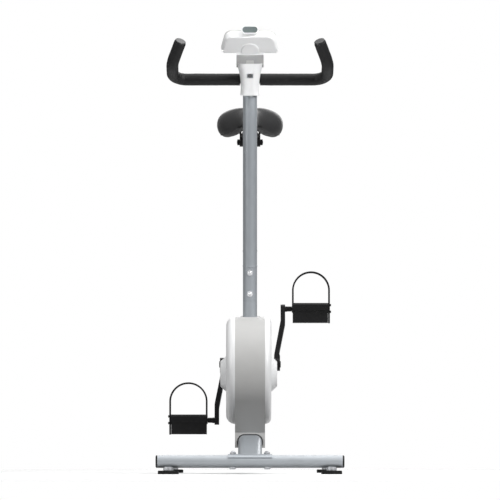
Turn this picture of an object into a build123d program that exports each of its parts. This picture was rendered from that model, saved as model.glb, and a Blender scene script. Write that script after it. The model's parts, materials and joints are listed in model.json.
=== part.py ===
from build123d import *
from math import asin, atan2, cos, degrees, radians, sin, tan
import os

# Upright magnetic exercise bike. Millimetres, +Z up, floor at Z = 0.
# The front of the bike faces -Y and the rider looks that way, so the rider's right side is -X.
# The origin is on the floor, midway between the outer faces of the two stabilizers.

# ---------------------------------------------------------------- driving dimensions
WHEELBASE = 824.0            # front to rear stabilizer, tube centre to tube centre
STABILIZER_LENGTH = 520.0    # end to end with its caps
STABILIZER_OD = 35.0
STABILIZER_WALL = 1.5
FOOT_HEIGHT = 17.3           # floor to underside of the stabilizer tubes
FOOT_SPREAD = 225.0          # foot centres from the middle plane
FOOT_RADIUS = 29.0
FOOT_PAD = 10.0
LOCK_NUT_RADIUS = 14.0
STUD_RADIUS = 5.0
CAP_HEAD = 5.0
PLATE_LENGTH = 122.0
PLATE_THICKNESS = 3.0
PLATE_CUT = 11.0                # the plate only covers the tube above this height over its axis
STABILIZER_BOLT_SPREAD = 48.0
BOLT_RADIUS = 4.0

MAIN_TUBE_WIDTH = 66.0
MAIN_TUBE_HEIGHT = 40.0
MAIN_TUBE_CORNER = 18.0
MAIN_TUBE_WALL = 2.0
MAIN_TUBE_Z = 88.0           # axis height between its two bends
MAIN_TUBE_SLOPE = 20.0       # degrees, ends falling to the stabilizers
MAIN_TUBE_BEND = 60.0

POST_OD = 40.0
POST_WALL = 2.0
POST_LEAN = 10.0             # degrees forward
POST_BASE_Y = -32.5
STUB_TOP = 388.0             # along the post, where the upper post sits on the stub
SPIGOT_TOP = 500.0
POST_TOP = 1040.0
POST_BOLT_LOW = 409.0
POST_BOLT_HIGH = 469.0
POST_BEAD = 486.0
BAR_LEVEL = 1011.5           # along the post
HINGE_LEVEL = 1068.0         # along the post
KNOB_LEVEL = 835.0           # along the post
BRACKET_SCREW = 1027.0          # along the post
CABLE_EXIT = 240.0              # along the post
SENSOR_EXIT = 236.0             # along the post
LUG_LEVEL = 286.0               # along the post, pivot of the brake arm
SHOE_START = 58.0               # degrees round the flywheel
SHOE_END = 124.0
BRAKE_OPEN = 6.0                # degrees of swing between light and full braking

CASING_FRONT_Y = -180.0
CASING_FRONT_Z = 290.0
CASING_FRONT_R = 150.0
CASING_REAR_Y = 60.0
CASING_REAR_Z = 305.0
CASING_REAR_R = 135.0
BAND_HALF_WIDTH = 42.0
CASING_WALL = 3.0
COVER_WALL = 2.5
LEFT_COVER_DEPTH = 17.4
RIGHT_COVER_DEPTH = 24.6
LEFT_COVER_ROUND = 16.5
RIGHT_COVER_ROUND = 23.5
BOOT_BOTTOM = 73.0
BOOT_LIP = 115.0
CHIN_ANGLE = 35.0            # degrees below the casing's front, where the chin leaves the round
BOSS_INSET = 20.0
SCREW_SINK = 4.0
HUB_HOLE_R = 25.0
COLLAR_R = 27.5
SEAT_COLLAR_LEVEL = 318.0       # along the seat tube

FLYWHEEL_Y = -197.0
FLYWHEEL_Z = 280.0
FLYWHEEL_R = 100.0
FLYWHEEL_WIDTH = 24.0
AXLE_R = 6.0
BULGE_BASE_R = 50.0
BULGE_TOP_R = 35.0
BULGE_HEIGHT = 16.6
FORK_THICKNESS = 4.0
FORK_WIDTH = 50.0
FLYWHEEL_BEARING_R = 15.0

CRANK_Y = 60.0
CRANK_Z = 312.0
CRANK_LENGTH = 170.0
CRANK_TILT = 19.3            # degrees from vertical; the right crank points down and forward
SHELL_R = 21.0
SHELL_LENGTH = 68.0
AXLE_CORE_R = 8.45
AXLE_SQUARE = 5.9            # half the side of the axle's square ends
BEARING_R = 17.5
HUB_FACE = 69.0              # inner face of the crank arms from the middle plane
ARM_THICKNESS = 13.0
ARM_OFFSET = 19.0
PULLEY_GROOVE_R = 95.0
PULLEY_RIM_R = 100.0
PULLEY_WIDTH = 12.0
BELT_X = -50.0
BELT_WIDTH = 6.0
BELT_THICKNESS = 3.0
SMALL_PULLEY_R = 18.0
IDLER_R = 14.0
IDLER_Y = -58.0
FIT = 0.05                   # radial clearance of a running fit
GAP = 0.3                    # space between moving faces that only come close

PEDAL_INNER = 121.0
PEDAL_LENGTH = 104.0
PEDAL_DEPTH = 92.0
PEDAL_TOP = 16.0
PEDAL_SPLIT = -5.0
PEDAL_BOTTOM = -40.0
COUNTERWEIGHT_DEPTH = 46.0
SPINDLE_R = 5.2
STRAP_WIDTH = 26.0
STRAP_THICKNESS = 4.8
STRAP_RISE = 108.0           # top of the strap above the spindle
SLOT_BOTTOM = 8.0
PEG_LEVELS = (11.0, -8.0)

SEAT_TUBE_OD = 40.0
SEAT_TUBE_WALL = 2.0
SEAT_LEAN = 12.0             # degrees rearward
SEAT_TUBE_TOP = 544.0        # along the seat tube
SEAT_POST_R = 16.0
SEAT_POST_WALL = 2.0
PIN_LEVEL = 510.0
PIN_R = 4.0
PIN_ENGAGE = 10.0
HOLE_PITCH = 25.0
HOLES_ABOVE = 6
HOLES_BELOW = 2
MINIMUM_INSERTION = 70.0
CLAMP_LEVEL = 873.0
CLAMP_BOLT_HALF = 38.0
RAIL_R = 3.5
RAIL_SPREAD = 22.0
RAIL_RISE = 15.0
SADDLE_WIDTH = 192.0
SADDLE_LENGTH = 265.0
SADDLE_TOP = 101.0           # above the clamp bolt
SADDLE_SKIRT = 22.0
SADDLE_PAN = 49.0            # underside of the foam above the clamp bolt
SADDLE_ROUND = 12.0
SADDLE_CHANNEL = 38.0        # half width between the two lobes

BAR_R = 11.1
BAR_WALL = 2.0
BAR_OFFSET = 34.0            # bar centre behind the post axis
BAR_HALF = 217.5
CLAMP_CAP = 14.0                # depth of the clamp's rear half behind the bar's centre
FOAM_R = 17.0
FOAM_START = 28.0
HORN_REACH = 95.0
HORN_RISE = 38.0
TIP_IN = 23.0
TIP_REACH = 35.0
TIP_RISE = 56.0

CONSOLE_TILT = 42.0          # degrees, face leaning back from upright
CONSOLE_WIDTH = 166.0
CONSOLE_TOP_WIDTH = 136.0
CONSOLE_CORNER = 24.0
CHIN_R = 27.0
CONSOLE_LOW = 27.6
CONSOLE_HIGH = 92.0
BARREL_R = 19.0
BARREL_HALF = 38.0
KNUCKLE_HALF = 10.0
POD_WIDTH = 49.0
POD_HEIGHT = 24.0
WINDOW_WIDTH = 42.0
WINDOW_HEIGHT = 17.0
POD_RISE = 80.0
POD_FRONT = -74.0
POD_REAR = -36.0
SCREEN_HALF = 38.0
SCREEN_LOW = 50.0
SCREEN_HIGH = 84.0
BUTTON_LEVEL = 39.0
BUTTON_R = 5.5
SHROUD_SPLIT = 12.0

# ---------------------------------------------------------------- worked-out places
STABILIZER_Z = FOOT_HEIGHT + STABILIZER_OD / 2
STABILIZER_R = STABILIZER_OD / 2
FRONT_Y = -WHEELBASE / 2
REAR_Y = WHEELBASE / 2
MAIN_TUBE_TOP = MAIN_TUBE_Z + MAIN_TUBE_HEIGHT / 2
STUB_COLLAR_LEVEL = (CASING_FRONT_Z + CASING_FRONT_R - MAIN_TUBE_TOP) / cos(radians(POST_LEAN))
BEND_Y = WHEELBASE / 2 - (MAIN_TUBE_Z - STABILIZER_Z) / tan(radians(MAIN_TUBE_SLOPE))
POST_R = POST_OD / 2
SPIGOT_R = POST_R - POST_WALL - 0.2
SEAT_TUBE_R = SEAT_TUBE_OD / 2
SHELL_MERGE = 2.0
SEAT_BASE_Y = (CRANK_Y + (SHELL_R + SEAT_TUBE_R - SHELL_MERGE) / cos(radians(SEAT_LEAN))
               - tan(radians(SEAT_LEAN)) * (CRANK_Z - MAIN_TUBE_TOP))
SEAT_POST_BOTTOM = PIN_LEVEL - HOLES_BELOW * HOLE_PITCH - MINIMUM_INSERTION
LEFT_COVER_X = BAND_HALF_WIDTH + LEFT_COVER_DEPTH
RIGHT_COVER_X = -BAND_HALF_WIDTH - RIGHT_COVER_DEPTH

POST = Pos(0, POST_BASE_Y, MAIN_TUBE_TOP) * Rot(POST_LEAN, 0, 0)
SEAT = Pos(0, SEAT_BASE_Y, MAIN_TUBE_TOP) * Rot(-SEAT_LEAN, 0, 0)
CRANK = Pos(0, CRANK_Y, CRANK_Z)
FLYWHEEL = Pos(0, FLYWHEEL_Y, FLYWHEEL_Z)
BAR = Pos((POST * Pos(0, BAR_OFFSET, BAR_LEVEL)).position)
CLAMP = Pos((SEAT * Pos(0, 0, CLAMP_LEVEL)).position)
HINGE = Pos((POST * Pos(0, 0, HINGE_LEVEL)).position)
CONSOLE = HINGE * Rot(CONSOLE_TILT, 0, 0)
IDLER_AXLE_R = 4.0


# ---------------------------------------------------------------- building helpers
def cylinder_x(radius, low, high, y=0.0, z=0.0):
    """Cylinder along X between two X positions."""
    return Pos((low + high) / 2, y, z) * Rot(0, 90, 0) * Cylinder(radius, high - low)


def cylinder_y(radius, low, high, x=0.0, z=0.0):
    """Cylinder along Y between two Y positions."""
    return Pos(x, (low + high) / 2, z) * Rot(90, 0, 0) * Cylinder(radius, high - low)


def cylinder_z(radius, low, high, x=0.0, y=0.0):
    """Cylinder along Z between two heights."""
    return Pos(x, y, (low + high) / 2) * Cylinder(radius, high - low)


def block(x_low, x_high, y_low, y_high, z_low, z_high):
    """Box between its low and high faces."""
    centre = Pos((x_low + x_high) / 2, (y_low + y_high) / 2, (z_low + z_high) / 2)
    return centre * Box(x_high - x_low, y_high - y_low, z_high - z_low)


def side_profile(sketch, x_low, x_high):
    """A sketch of the side view, in Y and Z, made solid between two X positions."""
    return extrude(Plane.YZ.offset(x_low) * sketch, amount=x_high - x_low)


def mirrored(shape):
    """The same shape on the other side of the middle plane."""
    return mirror(shape, about=Plane.YZ)


def both_sides(shape):
    """A shape and its mirror image, kept as separate solids."""
    return [shape, mirrored(shape)]


def tube_along(path, outer, inner):
    """Hollow round tube swept along a path."""
    start = Plane(origin=path @ 0, z_dir=path % 0)
    return sweep(start * Circle(outer), path=path) - sweep(start * Circle(inner), path=path)


def solids_of(*shapes):
    """One compound of separate solids, for pieces that share a node."""
    found = []
    for shape in shapes:
        found.extend(shape.solids())
    return Compound(children=found)


# ---------------------------------------------------------------- frame
def main_tube_solid(grow):
    """The flat-oval main tube as a solid bar, grown on every side by the given amount."""
    path = FilletPolyline(
        (0, FRONT_Y, STABILIZER_Z),
        (0, -BEND_Y, MAIN_TUBE_Z),
        (0, BEND_Y, MAIN_TUBE_Z),
        (0, REAR_Y, STABILIZER_Z),
        radius=MAIN_TUBE_BEND,
    )
    start = Plane(origin=path @ 0, z_dir=path % 0, x_dir=(1, 0, 0))
    section = RectangleRounded(MAIN_TUBE_WIDTH + 2 * grow, MAIN_TUBE_HEIGHT + 2 * grow, MAIN_TUBE_CORNER + grow)
    return sweep(start * section, path=path)


def saddle_plate(y):
    """Curved plate that sits on top of a stabilizer tube."""
    half = PLATE_LENGTH / 2
    outer = cylinder_x(STABILIZER_R + PLATE_THICKNESS, -half, half, y, STABILIZER_Z)
    plate = outer - cylinder_x(STABILIZER_R, -half, half, y, STABILIZER_Z)
    reach = STABILIZER_R + PLATE_THICKNESS + 1
    plate -= block(-half - 1, half + 1, y - reach, y + reach, STABILIZER_Z - reach, STABILIZER_Z + PLATE_CUT)
    for x in (-STABILIZER_BOLT_SPREAD, STABILIZER_BOLT_SPREAD):
        plate -= cylinder_z(BOLT_RADIUS + 0.2, STABILIZER_Z, STABILIZER_Z + reach, x, y)
    return plate


def main_tube():
    """Bent main tube with the two saddle plates welded to its coped ends."""
    tube = main_tube_solid(0) - main_tube_solid(-MAIN_TUBE_WALL)
    half = PLATE_LENGTH / 2
    for y in (FRONT_Y, REAR_Y):
        tube -= cylinder_x(STABILIZER_R + PLATE_THICKNESS, -half, half, y, STABILIZER_Z)
    shell = max(tube.solids(), key=lambda solid: solid.volume)
    return solids_of(shell, saddle_plate(FRONT_Y), saddle_plate(REAR_Y))


def stabilizer(y):
    """Cross tube with holes for its two bolts and for the studs of its feet."""
    half = STABILIZER_LENGTH / 2 - CAP_HEAD
    tube = cylinder_x(STABILIZER_R, -half, half, y, STABILIZER_Z)
    tube -= cylinder_x(STABILIZER_R - STABILIZER_WALL, -half, half, y, STABILIZER_Z)
    for side in (-1, 1):
        bolt_x = side * STABILIZER_BOLT_SPREAD
        tube -= cylinder_z(BOLT_RADIUS + 0.2, 0, STABILIZER_Z + STABILIZER_OD, bolt_x, y)
        tube -= cylinder_z(STUD_RADIUS + 0.5, 0, STABILIZER_Z, side * FOOT_SPREAD, y)
    return tube


def end_caps():
    """Push-in end caps of both stabilizers."""
    bore = STABILIZER_R - STABILIZER_WALL
    end = STABILIZER_LENGTH / 2
    head = cylinder_x(STABILIZER_R, end - CAP_HEAD, end)
    head = fillet(head.edges().filter_by(lambda e: abs(e.center().X - end) < 0.01), 3.5)
    plug = cylinder_x(bore, end - CAP_HEAD - 12, end - CAP_HEAD)
    plug -= cylinder_x(bore - 2, end - CAP_HEAD - 12, end - CAP_HEAD)
    cap = head + plug
    caps = []
    for y in (FRONT_Y, REAR_Y):
        caps.extend(both_sides(Pos(0, y, STABILIZER_Z) * cap))
    return solids_of(*caps)


def stabilizer_bolt(x, y):
    """Bolt from below with a shaped washer, and a cap nut on top of the saddle plate."""
    plate_top = STABILIZER_Z + STABILIZER_R + PLATE_THICKNESS
    under = FOOT_HEIGHT
    tube = cylinder_x(STABILIZER_R, x - 15, x + 15, y, STABILIZER_Z)
    over = cylinder_x(STABILIZER_R + PLATE_THICKNESS, x - 15, x + 15, y, STABILIZER_Z)
    shank = cylinder_z(BOLT_RADIUS, under - 3, plate_top + 5, x, y)
    head = Pos(x, y, under - 2) * chamfer(Cylinder(8.5, 4).edges().group_by(Axis.Z)[0], 1.5)
    washer = cylinder_z(10, under - 1.2, under + 3, x, y) - tube
    nut = extrude(Pos(x, y, plate_top - 3) * RegularPolygon(7, 6), amount=7.5) - over
    dome = Pos(x, y, plate_top + 4.5) * Sphere(4.8)
    dome -= block(x - 9, x + 9, y - 9, y + 9, plate_top - 3, plate_top + 4.5)
    return washer + head + shank + nut + dome


def stabilizer_bolts():
    """The four bolts that hold the stabilizers to the saddle plates."""
    spots = [(x, y) for x in (-STABILIZER_BOLT_SPREAD, STABILIZER_BOLT_SPREAD) for y in (FRONT_Y, REAR_Y)]
    return solids_of(*[stabilizer_bolt(x, y) for x, y in spots])


def foot_lock_nuts():
    """Round flanged nuts under the stabilizers, in which the studs of the feet turn."""
    nuts = []
    for y in (FRONT_Y, REAR_Y):
        for side in (-1, 1):
            x = side * FOOT_SPREAD
            nut = cylinder_z(LOCK_NUT_RADIUS, FOOT_PAD + GAP, FOOT_HEIGHT + 3, x, y)
            nut -= cylinder_x(STABILIZER_R, x - 20, x + 20, y, STABILIZER_Z)
            nuts.append(nut - cylinder_z(STUD_RADIUS + FIT, 0, 60, x, y))
    return solids_of(*nuts)


def foot(x, y):
    """Levelling foot: rubber pad and threaded stud."""
    pad = cylinder_z(FOOT_RADIUS, 0, FOOT_PAD, x, y)
    pad = fillet(pad.edges().group_by(Axis.Z)[-1], 3)
    pad = chamfer(pad.edges().group_by(Axis.Z)[0], 1)
    return pad + cylinder_z(STUD_RADIUS, FOOT_PAD - 2, FOOT_PAD + 35, x, y)


def post_stub():
    """Stub welded on the main tube, with the spigot that the upper post slides over,
    the brake's lug and the idler's stud."""
    inner = POST_R - POST_WALL
    stub = cylinder_z(POST_R, -12, STUB_TOP) + cylinder_z(SPIGOT_R, STUB_TOP, SPIGOT_TOP)
    bore = cylinder_z(inner, -20, STUB_TOP - 40) + cylinder_z(SPIGOT_R - POST_WALL, STUB_TOP - 40, SPIGOT_TOP)
    stub -= bore
    for level in (POST_BOLT_LOW, POST_BOLT_HIGH):
        stub += cylinder_y(7, -SPIGOT_R + 2, -10, 0, level)
        stub -= cylinder_y(BOLT_RADIUS, -30, 0, 0, level)
    stub = POST * stub - main_tube_solid(0)
    for cable in cables(1.0):
        stub -= cable
    shell = max(stub.solids(), key=lambda solid: solid.volume)
    for side in (-1, 1):
        ear = block(min(side * 15.5, side * 19), max(side * 15.5, side * 19), -34, -8, LUG_LEVEL - 8, LUG_LEVEL + 8)
        ear += cylinder_x(8, min(side * 15.5, side * 19), max(side * 15.5, side * 19), -34, LUG_LEVEL)
        ear -= cylinder_z(inner, 0, STUB_TOP)
        shell += POST * ear
    shell += POST * cylinder_x(4, -19, 19, -34, LUG_LEVEL)
    stud_y, stud_z = idler_centre()
    stud = cylinder_x(IDLER_AXLE_R, BELT_X - 8, -12, stud_y, stud_z)
    stud += cylinder_x(7, BELT_X - 9.5, BELT_X - 6.5, stud_y, stud_z)
    stud -= POST * cylinder_z(inner, 0, STUB_TOP)
    return shell + stud


def front_post():
    """Upper post with a bead above its bolts, the bar's cradle on its rear side and the dial
    of the tension knob."""
    post = cylinder_z(POST_R, STUB_TOP, POST_TOP)
    post = chamfer(post.edges().group_by(Axis.Z)[0], 0.9)
    post += chamfer(cylinder_z(POST_R + 0.8, POST_BEAD - 2, POST_BEAD + 2).edges(), 0.6)
    cradle = block(-18, 18, 10, BAR_OFFSET, BAR_LEVEL - 22, BAR_LEVEL + 22)
    dial = cylinder_y(19.5, 12, 23, 0, KNOB_LEVEL)
    post += cradle
    post += dial
    post -= cylinder_z(POST_R - POST_WALL, STUB_TOP - 1, POST_TOP + 1)
    post -= cylinder_x(BAR_R + FIT, -30, 30, BAR_OFFSET, BAR_LEVEL)
    post -= cylinder_y(3 + FIT, 0, 30, 0, KNOB_LEVEL)
    for level in (POST_BOLT_LOW, POST_BOLT_HIGH, BRACKET_SCREW):
        post -= cylinder_y(BOLT_RADIUS, -30, 0, 0, level)
    for level in (BAR_LEVEL - 17, BAR_LEVEL + 17):
        post -= cylinder_y(3, 22, 40, 0, level)
    return POST * post


def domed_bolt(level, reach, head_radius):
    """Domed bolt in the front of the post, with its curved washer."""
    face = -POST_R
    washer = cylinder_y(head_radius + 1.5, face - 1.5, face + 3, 0, level) - cylinder_z(POST_R, level - 20, level + 20)
    shank = cylinder_y(BOLT_RADIUS, face - 2, face + reach, 0, level)
    dome = Pos(0, face + 3.1, level) * Sphere(head_radius + 0.6)
    dome -= block(-20, 20, face - 1.5, face + 20, level - 20, level + 20)
    hex_key = Pos(0, face - 4, level) * Rot(90, 0, 0) * extrude(RegularPolygon(2.6, 6), amount=6)
    return POST * (washer + shank + dome - hex_key)


def post_bolts():
    """The two bolts that hold the upper post on its stub, and the screw of the console bracket."""
    bolts = [domed_bolt(level, 14, 6.8) for level in (POST_BOLT_LOW, POST_BOLT_HIGH)]
    return solids_of(*bolts, domed_bolt(BRACKET_SCREW, 14, 4.6))


def seat_tube():
    """Seat tube with the bottom bracket shell and the threaded boss of the pop-pin."""
    inner = SEAT_TUBE_R - SEAT_TUBE_WALL
    tube = cylinder_z(SEAT_TUBE_R, -12, SEAT_TUBE_TOP)
    boss = cylinder_y(9, inner, SEAT_TUBE_R + 10, 0, PIN_LEVEL)
    tube = SEAT * (tube + boss) - main_tube_solid(0)
    tube = max(tube.solids(), key=lambda solid: solid.volume)
    half = SHELL_LENGTH / 2
    tube += CRANK * cylinder_x(SHELL_R, -half, half)
    tube -= SEAT * cylinder_z(inner, -20, SEAT_TUBE_TOP + 1)
    tube -= CRANK * cylinder_x(BEARING_R, -half - 1, half + 1)
    return tube - SEAT * cylinder_y(PIN_R + FIT, 0, 60, 0, PIN_LEVEL)


def seat_bushing():
    """Plastic sleeve that guides the seat post in the seat tube."""
    sleeve = cylinder_z(SEAT_TUBE_R - SEAT_TUBE_WALL, SEAT_TUBE_TOP - 60, SEAT_TUBE_TOP)
    sleeve += cylinder_z(SEAT_TUBE_R + 1, SEAT_TUBE_TOP, SEAT_TUBE_TOP + 4)
    sleeve -= cylinder_z(SEAT_POST_R + FIT, SEAT_TUBE_TOP - 61, SEAT_TUBE_TOP + 5)
    return SEAT * (sleeve - cylinder_y(PIN_R + 0.3, 0, 60, 0, PIN_LEVEL))


def bearings():
    """Ball bearings of the crank axle and of the flywheel, as plain rings."""
    half = SHELL_LENGTH / 2
    rings = []
    for low in (-half, half - 12):
        ring = cylinder_x(BEARING_R, low, low + 12) - cylinder_x(AXLE_CORE_R + FIT, low, low + 12)
        rings.append(CRANK * ring)
    for low in (-14, 4):
        ring = cylinder_x(FLYWHEEL_BEARING_R, low, low + 10) - cylinder_x(AXLE_R, low, low + 10)
        rings.append(FLYWHEEL * ring)
    return solids_of(*rings)


# ---------------------------------------------------------------- casing
def casing_outline(inset=0.0):
    """Side view of the casing: two rounds joined by their tangents."""
    front = Pos(CASING_FRONT_Y, CASING_FRONT_Z) * Circle(CASING_FRONT_R - inset)
    rear = Pos(CASING_REAR_Y, CASING_REAR_Z) * Circle(CASING_REAR_R - inset)
    return make_hull(front.edges() + rear.edges())


def boot_outline():
    """Side view of the boot that covers the middle of the main tube."""
    angle = radians(CHIN_ANGLE)
    front = (CASING_FRONT_Y - CASING_FRONT_R * cos(angle), CASING_FRONT_Z - CASING_FRONT_R * sin(angle))
    rear = (CASING_REAR_Y + CASING_REAR_R * cos(angle), CASING_REAR_Z - CASING_REAR_R * sin(angle))
    front_lip = front[0] + (front[1] - BOOT_LIP) * tan(angle)
    rear_lip = rear[0] - (rear[1] - BOOT_LIP) * tan(angle)
    corners = [front, (front_lip, BOOT_LIP), (front_lip, BOOT_BOTTOM), (rear_lip, BOOT_BOTTOM),
               (rear_lip, BOOT_LIP), rear]
    return make_face(Polyline(*corners, close=True))


def boss_places():
    """Places of the casing's screws, in Y and Z, a fixed distance in from the outline."""
    places = []
    for angle in (100, 180, 245):
        reach = CASING_FRONT_R - BOSS_INSET
        places.append((CASING_FRONT_Y + reach * cos(radians(angle)), CASING_FRONT_Z + reach * sin(radians(angle)), angle))
    for angle in (-50, 10, 85):
        reach = CASING_REAR_R - BOSS_INSET
        places.append((CASING_REAR_Y + reach * cos(radians(angle)), CASING_REAR_Z + reach * sin(radians(angle)), angle))
    return places


def casing_band():
    """Grey band round the middle of the casing, with the boot over the main tube."""
    half = BAND_HALF_WIDTH
    outline = casing_outline() + boot_outline()
    band = side_profile(outline, -half, half)
    band -= side_profile(offset(outline, amount=-CASING_WALL), -half - 1, half + 1)
    wall = boot_outline() - casing_outline(CASING_WALL + 1)
    for low in (-half, half - CASING_WALL):
        band += side_profile(wall, low, low + CASING_WALL)
    for y, z, angle in boss_places():
        web = Pos(0, y, z) * Rot(angle, 0, 0) * block(-half, half, 0, BOSS_INSET - 1, -1.5, 1.5)
        band += cylinder_x(5.5, -half, half, y, z) + web
    for y, z, angle in boss_places():
        band -= cylinder_x(1.6, -half - 1, half + 1, y, z)
    band -= main_tube_solid(3) & block(-60, 60, FRONT_Y, CASING_FRONT_Y + 40, 0, 200)
    band -= main_tube_solid(GAP)
    band -= POST * cylinder_z(COLLAR_R, 200, 400)
    band -= SEAT * cylinder_z(COLLAR_R, 200, 400)
    return max(band.solids(), key=lambda solid: solid.volume)


def cover_bowl(depth, rounding, inset):
    """Rounded bowl of a side cover with its flywheel boss, opening at X = 0 towards -X."""
    outline = casing_outline(inset)
    bowl = side_profile(outline, 0, depth)
    bowl = fillet(bowl.edges().filter_by(lambda e: abs(e.center().X - depth) < 0.01), rounding)
    boss = FLYWHEEL * Pos(depth + BULGE_HEIGHT / 2, 0, 0) * Rot(0, 90, 0)
    cone = boss * Cone(BULGE_BASE_R - inset, BULGE_TOP_R - inset, BULGE_HEIGHT)
    if inset == 0:
        cone = fillet(cone.edges().filter_by(lambda e: e.center().X > depth + 1), 3)
    return bowl + cone


def side_cover(depth, rounding):
    """Side cover, drawn for the +X side, as a bowl of even wall with screw posts."""
    cover = cover_bowl(depth, rounding, 0) - cover_bowl(depth - COVER_WALL, rounding - COVER_WALL, COVER_WALL)
    for y, z, angle in boss_places():
        cover += cylinder_x(5, 0, depth - 1, y, z)
        cover -= cylinder_x(1.9, -1, depth + 1, y, z)
        cover -= cylinder_x(4, depth - SCREW_SINK, depth + 1, y, z)
    cover -= cylinder_x(HUB_HOLE_R, -1, depth + 1, CRANK_Y, CRANK_Z)
    return Pos(BAND_HALF_WIDTH, 0, 0) * cover


def cover_screws():
    """Pan-head screws of the two side covers."""
    screws = []
    for outer, side in ((LEFT_COVER_X, 1), (-RIGHT_COVER_X, -1)):
        for y, z, angle in boss_places():
            head = outer - SCREW_SINK
            screw = cylinder_x(3.8, head, head + 2.4, y, z) + cylinder_x(1.6, BAND_HALF_WIDTH - 10, head, y, z)
            slot = block(head + 1.4, head + 3, y - 2.4, y + 2.4, z - 0.5, z + 0.5)
            slot += block(head + 1.4, head + 3, y - 0.5, y + 0.5, z - 2.4, z + 2.4)
            screw -= slot
            screws.append(screw if side > 0 else mirrored(screw))
    return solids_of(*screws)


def collar(place, tube_radius, level, rise):
    """Trim ring where a tube leaves the casing."""
    ring = cylinder_z(COLLAR_R, level - 12, level + rise) - cylinder_z(tube_radius + 0.2, level - 12, level + rise)
    return place * ring


def casing_collars():
    """Trim rings of the post stub and of the seat tube."""
    return solids_of(
        collar(POST, POST_R, STUB_COLLAR_LEVEL, 4),
        collar(SEAT, SEAT_TUBE_R, SEAT_COLLAR_LEVEL, 12),
    )


# ---------------------------------------------------------------- drive and brake
def flywheel_fork():
    """Bent plate on the main tube that carries the flywheel axle."""
    inner = MAIN_TUBE_WIDTH / 2
    shelf = CASING_FRONT_Z - CASING_FRONT_R + 22
    left = LEFT_COVER_X - COVER_WALL - 1 - FORK_THICKNESS
    right = RIGHT_COVER_X + COVER_WALL + 2 + FORK_THICKNESS
    low_y = FLYWHEEL_Y - FORK_WIDTH / 2
    high_y = FLYWHEEL_Y + FORK_WIDTH / 2
    top = FLYWHEEL_Z + 22
    fork = block(-inner, inner, low_y, high_y, MAIN_TUBE_TOP, MAIN_TUBE_TOP + FORK_THICKNESS)
    fork += block(-inner, -inner + FORK_THICKNESS, low_y, high_y, MAIN_TUBE_TOP, shelf + FORK_THICKNESS)
    fork += block(inner - FORK_THICKNESS, inner, low_y, high_y, MAIN_TUBE_TOP, shelf + FORK_THICKNESS)
    fork += block(right - FORK_THICKNESS, -inner + FORK_THICKNESS, low_y, high_y, shelf, shelf + FORK_THICKNESS)
    fork += block(inner - FORK_THICKNESS, left + FORK_THICKNESS, low_y, high_y, shelf, shelf + FORK_THICKNESS)
    fork += block(right - FORK_THICKNESS, right, low_y, high_y, shelf, top)
    fork += block(left, left + FORK_THICKNESS, low_y, high_y, shelf, top)
    fork -= cylinder_x(AXLE_R + 0.1, right - 9, left + 9, FLYWHEEL_Y, FLYWHEEL_Z)
    return fork


def flywheel_axle():
    """Fixed flywheel axle with a nut outside each plate of the fork."""
    left = LEFT_COVER_X - COVER_WALL - 1
    right = RIGHT_COVER_X + COVER_WALL + 2
    axle = cylinder_x(AXLE_R, right - 13, left + 12)
    nuts = []
    for low in (right - 9, left + 0.1):
        nut = Pos(low, 0, 0) * Rot(0, 90, 0) * extrude(RegularPolygon(10, 6), amount=8.9)
        nuts.append(nut - cylinder_x(AXLE_R, low - 1, low + 10))
    return FLYWHEEL * solids_of(axle, *nuts)


def flywheel():
    """Cast flywheel: heavy rim, thin web with holes, and a hub."""
    half = FLYWHEEL_WIDTH / 2
    wheel = cylinder_x(FLYWHEEL_R, -half, half) - cylinder_x(FLYWHEEL_R - 20, -half, half)
    wheel += cylinder_x(FLYWHEEL_R - 19, -4, 4) + cylinder_x(26, -16, 16)
    for count in range(5):
        angle = radians(72 * count)
        wheel -= cylinder_x(12, -9, 9, 54 * cos(angle), 54 * sin(angle))
    return FLYWHEEL * (wheel - cylinder_x(FLYWHEEL_BEARING_R + FIT, -17, 17))


def flywheel_pulley():
    """Small belt pulley on a sleeve from the flywheel's hub."""
    low = BELT_X - PULLEY_WIDTH / 2
    high = BELT_X + PULLEY_WIDTH / 2
    pulley = cylinder_x(SMALL_PULLEY_R, low, high)
    pulley += cylinder_x(SMALL_PULLEY_R + 4, low, low + 2) + cylinder_x(SMALL_PULLEY_R + 4, high - 2, high)
    pulley += cylinder_x(13, high, -16)
    return FLYWHEEL * (pulley - cylinder_x(AXLE_R + FIT, low - 1, 0))


def tangent_directions():
    """Unit normals, in Y and Z, of the belt's two straight runs."""
    span_y = CRANK_Y - FLYWHEEL_Y
    span_z = CRANK_Z - FLYWHEEL_Z
    span = (span_y ** 2 + span_z ** 2) ** 0.5
    heading = atan2(span_z, span_y)
    opening = asin((PULLEY_GROOVE_R - SMALL_PULLEY_R) / span)
    upper = heading + radians(90) + opening
    lower = heading - radians(90) - opening
    return (cos(upper), sin(upper)), (cos(lower), sin(lower))


def idler_centre():
    """Centre of the idler, in Y and Z, which runs on the outside of the belt's lower run."""
    normal = tangent_directions()[1]
    start_y = FLYWHEEL_Y + (SMALL_PULLEY_R + GAP + BELT_THICKNESS) * normal[0]
    start_z = FLYWHEEL_Z + (SMALL_PULLEY_R + GAP + BELT_THICKNESS) * normal[1]
    along = (-normal[1], normal[0])
    travel = (IDLER_Y - start_y) / along[0]
    reach = IDLER_R + GAP
    return start_y + along[0] * travel + normal[0] * reach, start_z + along[1] * travel + normal[1] * reach


def drive_belt():
    """Ribbed belt as a plain loop round the crank pulley and the flywheel pulley."""
    def loop(extra):
        big = Pos(CRANK_Y, CRANK_Z) * Circle(PULLEY_GROOVE_R + GAP + extra)
        small = Pos(FLYWHEEL_Y, FLYWHEEL_Z) * Circle(SMALL_PULLEY_R + GAP + extra)
        return make_hull(big.edges() + small.edges())
    return side_profile(loop(BELT_THICKNESS) - loop(0), BELT_X - BELT_WIDTH / 2, BELT_X + BELT_WIDTH / 2)


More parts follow.
